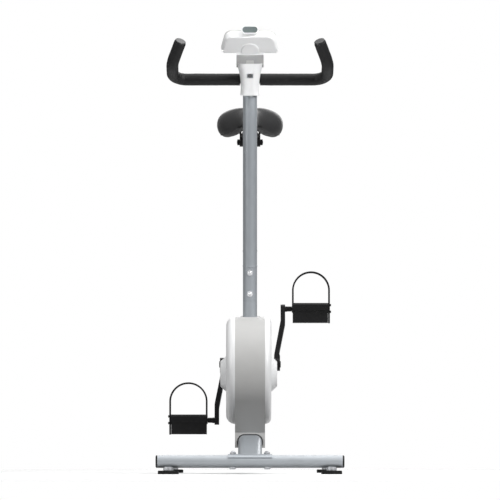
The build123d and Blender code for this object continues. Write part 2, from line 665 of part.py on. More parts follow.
def idler_roller():
    """Smooth roller on the idler's stud."""
    y, z = idler_centre()
    low = BELT_X - BELT_WIDTH / 2 - 2
    roller = cylinder_x(IDLER_R, low, low + BELT_WIDTH + 4, y, z)
    return roller - cylinder_x(IDLER_AXLE_R + FIT, low - 1, low + BELT_WIDTH + 5, y, z)


def brake_arm():
    """Curved brake shoe with its three magnets, hinged at the stub's lug."""
    pivot_y, pivot_z = lug_place()
    shoe_in = FLYWHEEL_R + 7
    shoe = cylinder_x(shoe_in + 5, -14, 14) - cylinder_x(shoe_in, -14, 14)
    reach = shoe_in + 20
    wedge = make_face(Polyline(
        (0, 0),
        (reach * 1.6 * cos(radians(SHOE_START)), reach * 1.6 * sin(radians(SHOE_START))),
        (0, reach * 2.4),
        (reach * 1.6 * cos(radians(SHOE_END)), reach * 1.6 * sin(radians(SHOE_END))),
        close=True,
    ))
    shoe = FLYWHEEL * (shoe & side_profile(wedge, -15, 15))
    eye = cylinder_x(8.5, -14, 14, pivot_y, pivot_z)
    link_y = FLYWHEEL_Y + (shoe_in + 2.5) * cos(radians(SHOE_START + 6))
    link_z = FLYWHEEL_Z + (shoe_in + 2.5) * sin(radians(SHOE_START + 6))
    link = make_hull((Pos(pivot_y, pivot_z) * Circle(6)).edges() + (Pos(link_y, link_z) * Circle(2.4)).edges())
    arm = shoe + eye + side_profile(link, -14, 14)
    arm -= cylinder_x(4 + FIT, -20, 20, pivot_y, pivot_z)
    magnets = []
    for angle in (72, 90, 108):
        place = FLYWHEEL * Rot(angle, 0, 0)
        magnets.append(place * block(-12, 12, shoe_in - 4, shoe_in - 0.2, -11, 11))
    closed = solids_of(arm, *magnets)
    pivot = Pos(0, pivot_y, pivot_z)
    return pivot * Rot(-BRAKE_OPEN, 0, 0) * pivot.inverse() * closed


def lug_place():
    """Brake pivot in Y and Z."""
    spot = (POST * Pos(0, -34, LUG_LEVEL)).position
    return spot.Y, spot.Z


def tension_knob():
    """Ribbed tension knob and its shaft, on the rear of the post."""
    knob = cylinder_y(18, 23 + GAP, 44, 0, KNOB_LEVEL)
    knob = fillet(knob.edges().filter_by(lambda e: e.center().Y > 43.9), 2)
    for count in range(12):
        angle = radians(30 * count)
        knob -= cylinder_y(2.2, 27, 45, 18.6 * cos(angle), KNOB_LEVEL + 18.6 * sin(angle))
    return POST * (knob + cylinder_y(3, 14, 24, 0, KNOB_LEVEL))


def cables(grow):
    """Tension cable and sensor cable, held inside the post, grown by the given amount."""
    tension = FilletPolyline((0, 8, KNOB_LEVEL - 12), (0, 4, STUB_TOP + 60), (0, 4, CABLE_EXIT + 30),
                             (0, -32, CABLE_EXIT), radius=18)
    sensor = FilletPolyline((8, -4, POST_TOP - 60), (9, 3, STUB_TOP + 60), (7, 4, SENSOR_EXIT + 30),
                            (0, 32, SENSOR_EXIT), radius=18)
    found = []
    for path, radius in ((tension, 2.5), (sensor, 1.8)):
        start = Plane(origin=path @ 0, z_dir=path % 0)
        found.append(POST * sweep(start * Circle(radius + grow), path=path))
    return found


def speed_sensor():
    """Speed sensor on the stub's right side, facing the crank pulley."""
    level = (CRANK_Z - MAIN_TUBE_TOP) / cos(radians(POST_LEAN))
    body = block(BELT_X + PULLEY_WIDTH / 2 + 2, -POST_R, -4, 14, level - 8, level + 8)
    return POST * fillet(body.edges().filter_by(Axis.X), 2)


# ---------------------------------------------------------------- cranks and pedals
def crank_axle():
    """Crank axle with a flange for the pulley and a square at each end."""
    half = SHELL_LENGTH / 2
    axle = cylinder_x(AXLE_CORE_R, -HUB_FACE + 2, HUB_FACE - 2)
    for low, high in ((-HUB_FACE - 13, -HUB_FACE + 2), (HUB_FACE - 2, HUB_FACE + 13)):
        axle += block(low, high, -AXLE_SQUARE, AXLE_SQUARE, -AXLE_SQUARE, AXLE_SQUARE)
    axle += cylinder_x(24, -half - 9.9, -half - 5)
    return CRANK * Rot(-CRANK_TILT, 0, 0) * axle


def crank_pulley():
    """Large belt pulley with six lightening holes."""
    low = BELT_X - PULLEY_WIDTH / 2
    high = BELT_X + PULLEY_WIDTH / 2
    pulley = cylinder_x(PULLEY_RIM_R, low, high)
    groove = cylinder_x(PULLEY_RIM_R + 1, low + 2, high - 2) - cylinder_x(PULLEY_GROOVE_R, low + 2, high - 2)
    pulley -= groove
    for x_low, x_high in ((low - 1, low + 4), (high - 4, high + 1)):
        pulley -= cylinder_x(PULLEY_GROOVE_R - 6, x_low, x_high) - cylinder_x(26, x_low, x_high)
    for count in range(6):
        angle = radians(60 * count + 30)
        pulley -= cylinder_x(17, low - 1, high + 1, 58 * cos(angle), 58 * sin(angle))
    return CRANK * (pulley - cylinder_x(AXLE_CORE_R, low - 1, high + 1))


def crank_arm():
    """Left crank arm pointing up: straight planform, bent outwards to clear the casing."""
    end = CRANK_LENGTH + 15
    inner = Polyline((-20, HUB_FACE), (24, HUB_FACE), (130, HUB_FACE + ARM_OFFSET), (end, HUB_FACE + ARM_OFFSET))
    outer = Polyline((end, HUB_FACE + ARM_OFFSET + ARM_THICKNESS), (125, HUB_FACE + ARM_OFFSET + ARM_THICKNESS),
                     (30, HUB_FACE + ARM_THICKNESS + 1), (20, HUB_FACE + 17), (-20, HUB_FACE + 17))
    joins = Polyline(outer @ 1, inner @ 0)
    close_top = Polyline(inner @ 1, outer @ 0)
    bent = make_face([*inner.edges(), *close_top.edges(), *outer.edges(), *joins.edges()])
    corners = [v for v in bent.vertices() if 25 < v.X < 135]
    bent = fillet(corners, 40)
    slab = extrude(Plane(origin=(0, -30, 0), x_dir=(0, 0, 1), z_dir=(0, 1, 0)) * bent, amount=60)
    planform = make_hull(Circle(15).edges() + (Pos(0, CRANK_LENGTH) * Circle(13)).edges()) + Circle(19)
    arm = slab & side_profile(planform, 0, HUB_FACE + 60)
    arm -= block(0, HUB_FACE + 13, -AXLE_SQUARE, AXLE_SQUARE, -AXLE_SQUARE, AXLE_SQUARE)
    arm -= cylinder_x(9.2, HUB_FACE + 12, HUB_FACE + 30)
    return arm - cylinder_x(7, HUB_FACE, HUB_FACE + 60, 0, CRANK_LENGTH)


def crank_bolt():
    """Bolt in the end of the crank axle, with its dust cap."""
    return cylinder_x(9.1, HUB_FACE + 13.1, HUB_FACE + 19) - cylinder_x(5, HUB_FACE + 18, HUB_FACE + 20)


def left_turn(shape):
    """Places a piece of the left crank, drawn pointing up, at the crank's rest angle."""
    return CRANK * Rot(-CRANK_TILT, 0, 0) * shape


def right_turn(shape):
    """Places the mirrored piece on the right crank, half a turn away."""
    return CRANK * Rot(180 - CRANK_TILT, 0, 0) * mirrored(shape)


def pedal_spindle():
    """Pedal spindle of the left crank: thread, hexagon and bearing journal."""
    arm_out = HUB_FACE + ARM_OFFSET + ARM_THICKNESS
    spindle = cylinder_x(7, HUB_FACE + ARM_OFFSET, arm_out, 0, CRANK_LENGTH)
    hexagon = Pos(arm_out, 0, CRANK_LENGTH) * Rot(0, 90, 0) * extrude(RegularPolygon(8.6, 6), amount=6)
    collar_ring = cylinder_x(7.4, arm_out + 6, PEDAL_INNER - 1, 0, CRANK_LENGTH)
    journal = cylinder_x(SPINDLE_R, PEDAL_INNER - 1, PEDAL_INNER + PEDAL_LENGTH - 12, 0, CRANK_LENGTH)
    return spindle + hexagon + collar_ring + journal


def pedal():
    """Weighted pedal of the left crank, its spindle on the X axis, level."""
    outer = PEDAL_INNER + PEDAL_LENGTH
    half = PEDAL_DEPTH / 2
    tread_side = Polyline((-half, PEDAL_TOP - 5), (-half + 4, PEDAL_TOP), (-half + 14, PEDAL_TOP), (-half + 26, PEDAL_TOP - 5),
                          (half - 26, PEDAL_TOP - 5), (half - 14, PEDAL_TOP), (half - 4, PEDAL_TOP), (half, PEDAL_TOP - 5),
                          (half - 3, PEDAL_SPLIT), (-half + 3, PEDAL_SPLIT), close=True)
    body = side_profile(make_face(tread_side), PEDAL_INNER, outer)
    for count in range(5):
        y = -16 + 8 * count
        body += block(PEDAL_INNER + 10, outer - 8, y - 1.2, y + 1.2, PEDAL_TOP - 6, PEDAL_TOP - 3)
    weight = side_profile(make_face(Polyline(
        (-COUNTERWEIGHT_DEPTH / 2 - 8, PEDAL_SPLIT), (COUNTERWEIGHT_DEPTH / 2 + 8, PEDAL_SPLIT),
        (COUNTERWEIGHT_DEPTH / 2, PEDAL_BOTTOM), (-COUNTERWEIGHT_DEPTH / 2, PEDAL_BOTTOM), close=True)),
        PEDAL_INNER + 2, outer - 1)
    body += weight
    body += cylinder_x(11, PEDAL_INNER - 0.5, PEDAL_INNER + 20)
    body -= cylinder_x(SPINDLE_R + FIT, PEDAL_INNER - 2, outer - 11)
    slot = STRAP_WIDTH / 2 + 0.5
    body -= block(PEDAL_INNER - 1, PEDAL_INNER + STRAP_THICKNESS + 0.2, -slot, slot, SLOT_BOTTOM, PEDAL_TOP + 5)
    for z in PEG_LEVELS:
        body += cylinder_x(3.4, outer - 3, outer + STRAP_THICKNESS + 3.5, 0, z)
    return body


def pedal_strap():
    """Pedal strap: a flat band in an arch over the tread, its tail down the outer side."""
    left = PEDAL_INNER
    right = PEDAL_INNER + PEDAL_LENGTH + STRAP_THICKNESS + 0.1
    centre = (left + right) / 2
    radius = (right - left) / 2
    spring_line = STRAP_RISE - radius

    def arch(r, low):
        leg = Pos(centre, (spring_line + low) / 2) * Rectangle(2 * r, spring_line - low)
        return Pos(centre, spring_line) * Circle(r) + leg

    sheet = arch(radius, PEDAL_BOTTOM - 1) - arch(radius - STRAP_THICKNESS, PEDAL_BOTTOM - 20)
    sheet -= Pos(left, PEDAL_BOTTOM / 2 + (SLOT_BOTTOM) / 2 - 10) * Rectangle(20, SLOT_BOTTOM - PEDAL_BOTTOM + 20)
    band = extrude(Plane.XZ.offset(-STRAP_WIDTH / 2) * sheet, amount=STRAP_WIDTH)
    outer = PEDAL_INNER + PEDAL_LENGTH
    for z in PEG_LEVELS:
        band -= cylinder_x(3.5, outer - 1, outer + 10, 0, z)
    return band


def at_left_pedal(shape):
    """Moves a piece drawn about the spindle to the left pedal, which stays level."""
    angle = radians(CRANK_TILT)
    return Pos(0, CRANK_Y + CRANK_LENGTH * sin(angle), CRANK_Z + CRANK_LENGTH * cos(angle)) * shape


def at_right_pedal(shape):
    """Moves a piece drawn about the spindle to the right pedal, which stays level."""
    angle = radians(CRANK_TILT)
    centre = Pos(0, CRANK_Y - CRANK_LENGTH * sin(angle), CRANK_Z - CRANK_LENGTH * cos(angle))
    return centre * mirrored(shape)


# ---------------------------------------------------------------- seat
def seat_post():
    """Seat post with its row of height holes and the eye of the saddle clamp."""
    tube_top = CLAMP_LEVEL - 22
    post = cylinder_z(SEAT_POST_R, SEAT_POST_BOTTOM, tube_top)
    post -= cylinder_z(SEAT_POST_R - SEAT_POST_WALL, SEAT_POST_BOTTOM - 1, tube_top - 3)
    post += cylinder_z(11, tube_top, CLAMP_LEVEL - 8) + cylinder_x(13, -13.8, 13.8, 0, CLAMP_LEVEL)
    for count in range(-HOLES_BELOW, HOLES_ABOVE + 1):
        post -= cylinder_y(PIN_R + 0.4, 0, SEAT_POST_R + 1, 0, PIN_LEVEL + count * HOLE_PITCH)
    return SEAT * (post - cylinder_x(BOLT_RADIUS + FIT, -20, 20, 0, CLAMP_LEVEL))


def pin_knob():
    """Pop-pin drawn back just clear of the seat post, with its knob."""
    stem_start = SEAT_POST_R + GAP
    head_start = SEAT_TUBE_R + 10 + PIN_ENGAGE + 1
    pin = cylinder_y(PIN_R, stem_start, head_start + 2, 0, PIN_LEVEL)
    head = cylinder_y(17, head_start, head_start + 22, 0, PIN_LEVEL)
    head = fillet(head.edges(), 2.5)
    for count in range(8):
        angle = radians(45 * count)
        head -= cylinder_y(3, head_start - 1, head_start + 23, 18 * cos(angle), PIN_LEVEL + 18 * sin(angle))
    return SEAT * (pin + head)


def saddle_clamp():
    """Cheeks that grip the saddle rails, with the cross bolt and its square nuts."""
    pieces = []
    for side in (-1, 1):
        low = min(side * 14.1, side * 30)
        high = max(side * 14.1, side * 30)
        cheek = block(low, high, -17, 17, -12, RAIL_RISE + 8)
        cheek = fillet(cheek.edges().filter_by(Axis.X), 6)
        cheek -= cylinder_y(RAIL_R + FIT, -18, 18, side * RAIL_SPREAD, RAIL_RISE)
        pieces.append(cheek - cylinder_x(BOLT_RADIUS, low - 1, high + 1))
        nut = block(min(side * 30.1, side * 37), max(side * 30.1, side * 37), -8, 8, -8, 8)
        pieces.append(nut - cylinder_x(BOLT_RADIUS, -40, 40))
    pieces.append(cylinder_x(BOLT_RADIUS, -CLAMP_BOLT_HALF, CLAMP_BOLT_HALF))
    return CLAMP * solids_of(*pieces)


def saddle_rails():
    """The two bent wire rails under the saddle."""
    top = SADDLE_PAN - 8
    path = FilletPolyline(
        (12, -100, top),
        (RAIL_SPREAD, -52, RAIL_RISE),
        (RAIL_SPREAD, 52, RAIL_RISE),
        (31, 98, top),
        radius=14,
    )
    rail = sweep(Plane(origin=path @ 0, z_dir=path % 0) * Circle(RAIL_R), path=path)
    return CLAMP * solids_of(*both_sides(rail))


def saddle_planform(inset=0.0):
    """Top view of the saddle, nose towards -Y, about the clamp."""
    half = SADDLE_WIDTH / 2
    length = SADDLE_LENGTH
    nose = -0.43 * length + inset
    tail = 0.57 * length - inset
    right = [
        (0.22 * half - inset, nose + 0.05 * length),
        (0.30 * half - inset, nose + 0.28 * length),
        (0.52 * half - inset, nose + 0.53 * length),
        (half - inset, nose + 0.82 * length),
        (0.62 * half - inset, tail),
    ]
    left = [(-x, y) for x, y in reversed(right)]
    outline = Spline((0, nose), *right, (0, tail - 0.02 * length), *left, periodic=True)
    return make_face(outline.edges())


def saddle_cushion():
    """Foam and cover of the saddle: crowned top and two lobes that hang either side of the pan."""
    low = SADDLE_SKIRT
    body = extrude(Pos(0, 0, low) * saddle_planform(), amount=SADDLE_TOP - low)
    body = fillet(body.edges().group_by(Axis.Z)[-1], SADDLE_ROUND)
    reach = SADDLE_LENGTH
    body -= block(-SADDLE_CHANNEL, SADDLE_CHANNEL, -reach, reach, low - 1, SADDLE_PAN)
    return CLAMP * body


def saddle_base():
    """Plastic pan under the foam, with pads where the rails end."""
    pan = extrude(Pos(0, 0, SADDLE_PAN - 6) * saddle_planform(6), amount=6)
    reach = SADDLE_LENGTH
    pan &= block(-SADDLE_CHANNEL + 1, SADDLE_CHANNEL - 1, -reach, reach, 0, SADDLE_PAN)
    for x, y in ((12, -100), (31, 98)):
        for side in (-1, 1):
            pan += cylinder_z(5.5, SADDLE_PAN - 12, SADDLE_PAN - 3, side * x, y)
    rail_space = saddle_rails()
    return CLAMP * pan - rail_space


# ---------------------------------------------------------------- handlebar
def bar_half_points():
    """Corner points of the bar from its middle to the left tip, about the bar centre."""
    elbow = (BAR_HALF, 0, 0)
    knee = (BAR_HALF, -HORN_REACH, HORN_RISE)
    tip = (BAR_HALF - TIP_IN, -HORN_REACH - TIP_REACH, HORN_RISE + TIP_RISE)
    return elbow, knee, tip


def handlebar():
    """One bent steel bar, two horns reaching forward and up."""
    elbow, knee, tip = bar_half_points()
    points = [(-tip[0], tip[1], tip[2]), (-knee[0], knee[1], knee[2]), (-elbow[0], 0, 0), elbow, knee, tip]
    path = FilletPolyline(*points, radius=[55, 40, 40, 55])
    return BAR * tube_along(path, BAR_R, BAR_R - BAR_WALL)


def grip():
    """Left foam grip from beside the shroud to the tip."""
    elbow, knee, tip = bar_half_points()
    path = FilletPolyline((FOAM_START, 0, 0), elbow, knee, tip, radius=[40, 55])
    return BAR * tube_along(path, FOAM_R, BAR_R)


def grip_end_caps():
    """Round plugs in the tips of the bar."""
    elbow, knee, tip = bar_half_points()
    heading = Vector(*tip) - Vector(*knee)
    cap = cylinder_z(FOAM_R - 1.5, 0, 4)
    cap = fillet(cap.edges().group_by(Axis.Z)[-1], 2)
    cap += cylinder_z(BAR_R - BAR_WALL, -14, 0)
    cap = Plane(origin=tip, z_dir=heading).location * cap
    return BAR * solids_of(*both_sides(cap))


def handlebar_clamp():
    """Clamp half behind the bar with its two bolts."""
    back = BAR_OFFSET + CLAMP_CAP
    cap = block(-18, 18, BAR_OFFSET + 0.6, back, BAR_LEVEL - 22, BAR_LEVEL + 22)
    cap = fillet(cap.edges().filter_by(Axis.X).group_by(Axis.Y)[-1], 6)
    cap -= cylinder_x(BAR_R + FIT, -30, 30, BAR_OFFSET, BAR_LEVEL)
    bolts = []
    for level in (BAR_LEVEL - 17, BAR_LEVEL + 17):
        cap -= cylinder_y(3, BAR_OFFSET - 10, BAR_OFFSET + 20, 0, level)
        bolt = cylinder_y(3, BAR_OFFSET - 10, back, 0, level)
        bolts.append(bolt + cylinder_y(5, back, back + 4, 0, level))
    return POST * solids_of(cap, *bolts)


# ---------------------------------------------------------------- shroud and console
SHROUD_STATIONS = (
    # level from the bar, width, front, rear, corner radius
    (-40.0, 55.0, -27.0, 36.0, 20.0),
    (-15.0, 52.0, -26.0, 58.0, 20.0),
    (10.0, 56.0, -27.0, 61.0, 21.0),
    (50.0, 77.0, -31.0, 47.0, 24.0),
)


def shroud_solid(inset):
    """Waisted body round the post head, lofted through its stations."""
    sections = []
    for level, width, front, rear, corner in SHROUD_STATIONS:
        depth = rear - front - 2 * inset
        place = Pos(0, (front + rear) / 2, BAR_LEVEL + level)
        sections.append(place * RectangleRounded(width - 2 * inset, depth, corner - inset))
    return loft(sections)


def shroud():
    """Both halves of the shroud as one shell, open at the top round the tilt barrel."""
    low = BAR_LEVEL + SHROUD_STATIONS[0][0]
    shell = shroud_solid(0)
    hollow = shroud_solid(COVER_WALL) - block(-60, 60, -80, 80, low - 1, low + COVER_WALL)
    shell -= hollow
    shell -= cylinder_z(POST_R + 0.4, low - 1, low + 5)
    shell = POST * shell
    hinge = HINGE.position
    shell -= cylinder_x(BARREL_R + 1, -60, 60, hinge.Y, hinge.Z)
    bar = BAR.position
    shell -= cylinder_x(BAR_R + 1.4, -60, 60, bar.Y, bar.Z)
    for side in (-1, 1):
        ends = sorted((side * (FOAM_START - GAP), side * 60))
        shell -= cylinder_x(FOAM_R + GAP, ends[0], ends[1], bar.Y, bar.Z)
    return shell


def front_shroud():
    """Front half of the shroud, with the pocket over the bracket's screw."""
    half = shroud() & (POST * block(-60, 60, -60, SHROUD_SPLIT, 0, POST_TOP + 80))
    pocket = POST * block(-9, 9, -60, -POST_R, BRACKET_SCREW - 6, BRACKET_SCREW + 6)
    return half - pocket


def rear_shroud():
    """Rear half of the shroud."""
    return shroud() & (POST * block(-60, 60, SHROUD_SPLIT, 90, 0, POST_TOP + 80))


def console_bracket():
    """Stem in the post head with the middle knuckle of the tilt hinge and its pin."""
    stem = cylinder_z(POST_R - POST_WALL, POST_TOP - 42, POST_TOP)
    stem += cylinder_z(9.5, POST_TOP, HINGE_LEVEL - 5)
    stem -= cylinder_z(6, POST_TOP - 43, POST_TOP - 6)
    stem -= cylinder_y(BOLT_RADIUS, -30, 0, 0, BRACKET_SCREW)
    knuckle = cylinder_x(BARREL_R, -KNUCKLE_HALF, KNUCKLE_HALF, 0, HINGE_LEVEL)
    pin = cylinder_x(4, -BARREL_HALF + 6, BARREL_HALF - 6, 0, HINGE_LEVEL)
    return POST * (stem + knuckle + pin)


def console_plan(inset):
    """Face outline of the console: a rounded trapezoid, wide edge low."""
    half_low = CONSOLE_WIDTH / 2 - inset
    half_high = CONSOLE_TOP_WIDTH / 2 - inset
    low = CONSOLE_LOW + inset
    high = CONSOLE_HIGH - inset
    outline = make_face(Polyline((-half_low, low), (half_low, low), (half_high, high), (-half_high, high), close=True))
    upper = [v for v in outline.vertices() if v.Y > (low + high) / 2]
    outline = fillet(upper, CONSOLE_CORNER - inset / 2)
    lower = [v for v in outline.vertices() if v.Y < low + 1]
    return fillet(lower, 8)


def console_layer(inset, level):
    """The console outline at a height above its back, in the console's own axes."""
    return Plane(origin=(0, level, 0), x_dir=(1, 0, 0), z_dir=(0, -1, 0)) * console_plan(inset)


def pod_prism(width, height, front, rear):
    """Stadium prism facing straight forward, for the pod and its window."""
    centre = HINGE.position + Vector(0, 0, POD_RISE)
    plane = Plane(origin=(0, centre.Y + front, centre.Z), x_dir=(1, 0, 0), z_dir=(0, 1, 0))
    return extrude(plane * SlotOverall(width, height), amount=rear - front)


def console_back():
    """Console's rear shell with its neck, tilt barrel ends and the small pod at its top."""
    drafted = loft([console_layer(4, -8), console_layer(0, 10)])
    drafted = fillet(drafted.edges().group_by(Axis.Y)[0], 4)
    rim = extrude(console_layer(0, 14), amount=4)
    inside = loft([console_layer(9, -5), console_layer(4, 10)])
    inside += extrude(console_layer(2.5, 15), amount=5.1)
    neck_side = make_hull(Circle(BARREL_R).edges() + (Pos(2, 36) * Circle(9)).edges())
    neck = side_profile(neck_side, -BARREL_HALF, BARREL_HALF)
    pod = CONSOLE.inverse() * pod_prism(POD_WIDTH, POD_HEIGHT, POD_FRONT, POD_REAR)
    chin = cylinder_y(CHIN_R, -10, 9, 0, CONSOLE_LOW + 13)
    chin = fillet(chin.edges().group_by(Axis.Y)[0], 6)
    shell = drafted + rim + pod + chin
    shell -= inside
    shell += neck - inside
    knuckle_gap = cylinder_x(BARREL_R + 1, -KNUCKLE_HALF - GAP, KNUCKLE_HALF + GAP)
    shell -= knuckle_gap
    shell -= cylinder_x(4 + FIT, -BARREL_HALF + 5.5, BARREL_HALF - 5.5)
    shell -= CONSOLE.inverse() * pod_prism(WINDOW_WIDTH, WINDOW_HEIGHT, POD_FRONT - 1, POD_FRONT + 4)
    shell -= extrude(console_layer(0, 60), amount=46)
    shell = CONSOLE * shell
    return max(shell.solids(), key=lambda solid: solid.volume)


def console_window():
    """Smoked lens in the pod."""
    return pod_prism(WINDOW_WIDTH, WINDOW_HEIGHT, POD_FRONT + 1, POD_FRONT + 4)


def console_face():
    """Bezel of the console with a step for the screen and a hole for the button."""
    plate = extrude(console_layer(0, 22), amount=8)
    plate = fillet(plate.edges().group_by(Axis.Y)[-1], 3)
    screen = block(-SCREEN_HALF, SCREEN_HALF, 18, 30, SCREEN_LOW, SCREEN_HIGH)
    plate -= screen
    plate -= cylinder_y(BUTTON_R + 0.3, 10, 30, 0, BUTTON_LEVEL)
    return CONSOLE * plate


def console_screen():
    """Flat display window in the bezel."""
    screen = block(-SCREEN_HALF, SCREEN_HALF, 18, 20.6, SCREEN_LOW, SCREEN_HIGH)
    return CONSOLE * screen


def mode_button():
    """Round button below the screen."""
    button = cylinder_y(BUTTON_R, 15.5, 24.2, 0, BUTTON_LEVEL)
    return CONSOLE * fillet(button.edges().group_by(Axis.Y)[-1], 1)


NODES = {
    "main_tube": main_tube,
    "seat_tube": seat_tube,
    "post_stub": post_stub,
    "front_post": front_post,
    "post_bolts": post_bolts,
    "front_stabilizer": lambda: stabilizer(FRONT_Y),
    "rear_stabilizer": lambda: stabilizer(REAR_Y),
    "stabilizer_end_caps": end_caps,
    "stabilizer_bolts": stabilizer_bolts,
    "foot_lock_nuts": foot_lock_nuts,
    "front_left_foot": lambda: foot(FOOT_SPREAD, FRONT_Y),
    "front_right_foot": lambda: foot(-FOOT_SPREAD, FRONT_Y),
    "rear_left_foot": lambda: foot(FOOT_SPREAD, REAR_Y),
    "rear_right_foot": lambda: foot(-FOOT_SPREAD, REAR_Y),
    "seat_bushing": seat_bushing,
    "bearings": bearings,
    "casing_band": casing_band,
    "left_cover": lambda: side_cover(LEFT_COVER_DEPTH, LEFT_COVER_ROUND),
    "right_cover": lambda: mirrored(side_cover(RIGHT_COVER_DEPTH, RIGHT_COVER_ROUND)),
    "cover_screws": cover_screws,
    "casing_collars": casing_collars,
    "flywheel_fork": flywheel_fork,
    "flywheel_axle": flywheel_axle,
    "flywheel": flywheel,
    "flywheel_pulley": flywheel_pulley,
    "drive_belt": drive_belt,
    "idler_roller": idler_roller,
    "brake_arm": brake_arm,
    "tension_knob": tension_knob,
    "inner_cables": lambda: solids_of(*cables(0)),
    "speed_sensor": speed_sensor,
    "crank_axle": crank_axle,
    "crank_pulley": crank_pulley,
    "left_crank": lambda: left_turn(crank_arm()),
    "right_crank": lambda: right_turn(crank_arm()),
    "crank_bolts": lambda: solids_of(left_turn(crank_bolt()), right_turn(crank_bolt())),
    "pedal_spindles": lambda: solids_of(left_turn(pedal_spindle()), right_turn(pedal_spindle())),
    "left_pedal": lambda: at_left_pedal(pedal()),
    "right_pedal": lambda: at_right_pedal(pedal()),
    "left_strap": lambda: at_left_pedal(pedal_strap()),
    "right_strap": lambda: at_right_pedal(pedal_strap()),
    "seat_post": seat_post,
    "pin_knob": pin_knob,
    "saddle_clamp": saddle_clamp,
    "saddle_rails": saddle_rails,
    "saddle_base": saddle_base,
    "saddle_cushion": saddle_cushion,
    "handlebar": handlebar,
    "left_grip": grip,
    "right_grip": lambda: mirrored(grip()),
    "grip_end_caps": grip_end_caps,
    "handlebar_clamp": handlebar_clamp,
    "front_shroud": front_shroud,
    "rear_shroud": rear_shroud,
    "console_bracket": console_bracket,
    "console_back": console_back,
    "console_face": console_face,
    "console_screen": console_screen,
    "console_window": console_window,
    "mode_button": mode_button,
}

os.makedirs("parts", exist_ok=True)
for node, build in NODES.items():
    export_step(build(), os.path.join("parts", node + ".step"))
    print("built", node)
print("bar centre", BAR.position)
print("clamp centre", CLAMP.position)
print("hinge centre", HINGE.position)
print("idler centre", idler_centre(), "brake pivot", lug_place(), "flywheel ratio", PULLEY_GROOVE_R / SMALL_PULLEY_R)
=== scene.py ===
"""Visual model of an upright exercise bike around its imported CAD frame. Units are metres."""
import json
import math

import bpy
import numpy as np
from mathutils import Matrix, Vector, noise
from mathutils.bvhtree import BVHTree

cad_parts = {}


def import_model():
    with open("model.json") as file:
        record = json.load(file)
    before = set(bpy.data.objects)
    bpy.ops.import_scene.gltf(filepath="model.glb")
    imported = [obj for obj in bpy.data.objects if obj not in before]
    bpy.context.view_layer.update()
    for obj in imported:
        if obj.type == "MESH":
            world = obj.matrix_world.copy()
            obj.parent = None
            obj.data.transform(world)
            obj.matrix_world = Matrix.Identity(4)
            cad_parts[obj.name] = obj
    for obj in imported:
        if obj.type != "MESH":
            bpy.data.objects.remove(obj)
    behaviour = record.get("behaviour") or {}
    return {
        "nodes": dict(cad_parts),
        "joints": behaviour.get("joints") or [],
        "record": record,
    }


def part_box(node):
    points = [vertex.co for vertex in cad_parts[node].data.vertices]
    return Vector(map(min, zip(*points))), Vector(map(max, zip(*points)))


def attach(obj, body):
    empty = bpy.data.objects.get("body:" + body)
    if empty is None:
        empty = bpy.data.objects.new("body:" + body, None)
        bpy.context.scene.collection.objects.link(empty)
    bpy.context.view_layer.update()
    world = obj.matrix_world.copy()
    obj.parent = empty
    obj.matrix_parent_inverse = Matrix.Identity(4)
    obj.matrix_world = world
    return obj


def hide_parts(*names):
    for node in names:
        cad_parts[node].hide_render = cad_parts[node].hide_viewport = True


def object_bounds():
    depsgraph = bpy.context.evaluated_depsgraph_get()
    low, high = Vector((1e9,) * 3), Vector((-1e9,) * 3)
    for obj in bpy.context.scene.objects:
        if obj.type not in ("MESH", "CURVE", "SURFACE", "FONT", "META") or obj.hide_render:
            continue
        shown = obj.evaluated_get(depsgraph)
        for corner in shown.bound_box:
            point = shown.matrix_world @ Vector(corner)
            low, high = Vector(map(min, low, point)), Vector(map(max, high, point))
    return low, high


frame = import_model()
cad_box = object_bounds()
NODES = frame["nodes"]

# Camera
CAMERA_DISTANCE = 12.0
CAMERA_HEIGHT = 0.06
VIEW_WIDTH = 1.375
VIEW_CENTRE_Z = 0.6166
SENSOR_WIDTH = 36.0             # millimetres, as the lens is

# Lights
LAMP_TARGET = (0.0, 0.0, 0.6)
CONSOLE_TARGET = (0.0, -0.2, 1.23)
# name, place, size, power
LAMPS = (
    ("key", (2.4, -2.6, 2.6), (1.6, 2.4), 122.0),
    ("fill", (-2.8, -2.2, 1.6), (1.6, 2.4), 40.0),
    ("top", (0.3, 0.2, 3.2), (2.4, 2.4), 36.0),
    ("back", (0.4, 3.0, 2.0), (2.4, 1.6), 30.0),
)
CONSOLE_LAMP = ("low_front", (0.2, -2.0, 0.6), (0.3, 0.3), 0.12)
CONSOLE_LAMP_SPREAD = 14.0      # degrees
OPEN_SPREAD = 180.0

# Surround
FLOOR_RADIUS = 4.0
FLOOR_SIDES = 96
FLOOR_FADE = (0.7, 3.6)         # distances from the middle where the fading starts and ends
SKY_FROM_BELOW = 0.03
SKY_FROM_ABOVE = 0.75

# Materials
PLAIN_SPECULAR = 0.5
DARK_SPECULAR = 0.2
DARK_LIMIT = 0.1                # a colour darker than this gets the dark specular level
NOISE_BAND = (0.3, 0.7)         # where most of a noise texture's values lie
MIX_FIRST_COLOR = 6             # the mix node's colour sockets, which share their names with others
MIX_SECOND_COLOR = 7
MIX_COLOR_RESULT = 2
WHITE = (0.86, 0.865, 0.87)
BLACK = (0.006, 0.006, 0.0065)

# Foam grip
FOAM_RADIUS = 0.017
HORN_DIRECTION = Vector((0.0, -95.0, 38.0)).normalized()    # forward and a little up
ELBOW_BEND = 0.040
CREASE_COUNT = 5
CREASE_DEPTH = 0.0011
CREASE_HALF_ANGLE = 0.9         # how far round the elbow the creases go, each way
CREASE_REACH = ELBOW_BEND + FOAM_RADIUS * 1.2
CREASE_OUTER_SHARE = 0.12       # depth left on the outside of the elbow
CREASE_WANDER = 0.06
FINE_GRAIN = (0.00016, 420.0)   # height and frequency of the skin's unevenness
COARSE_GRAIN = (0.0003, 60.0)
FOAM_VOXEL = 0.0022

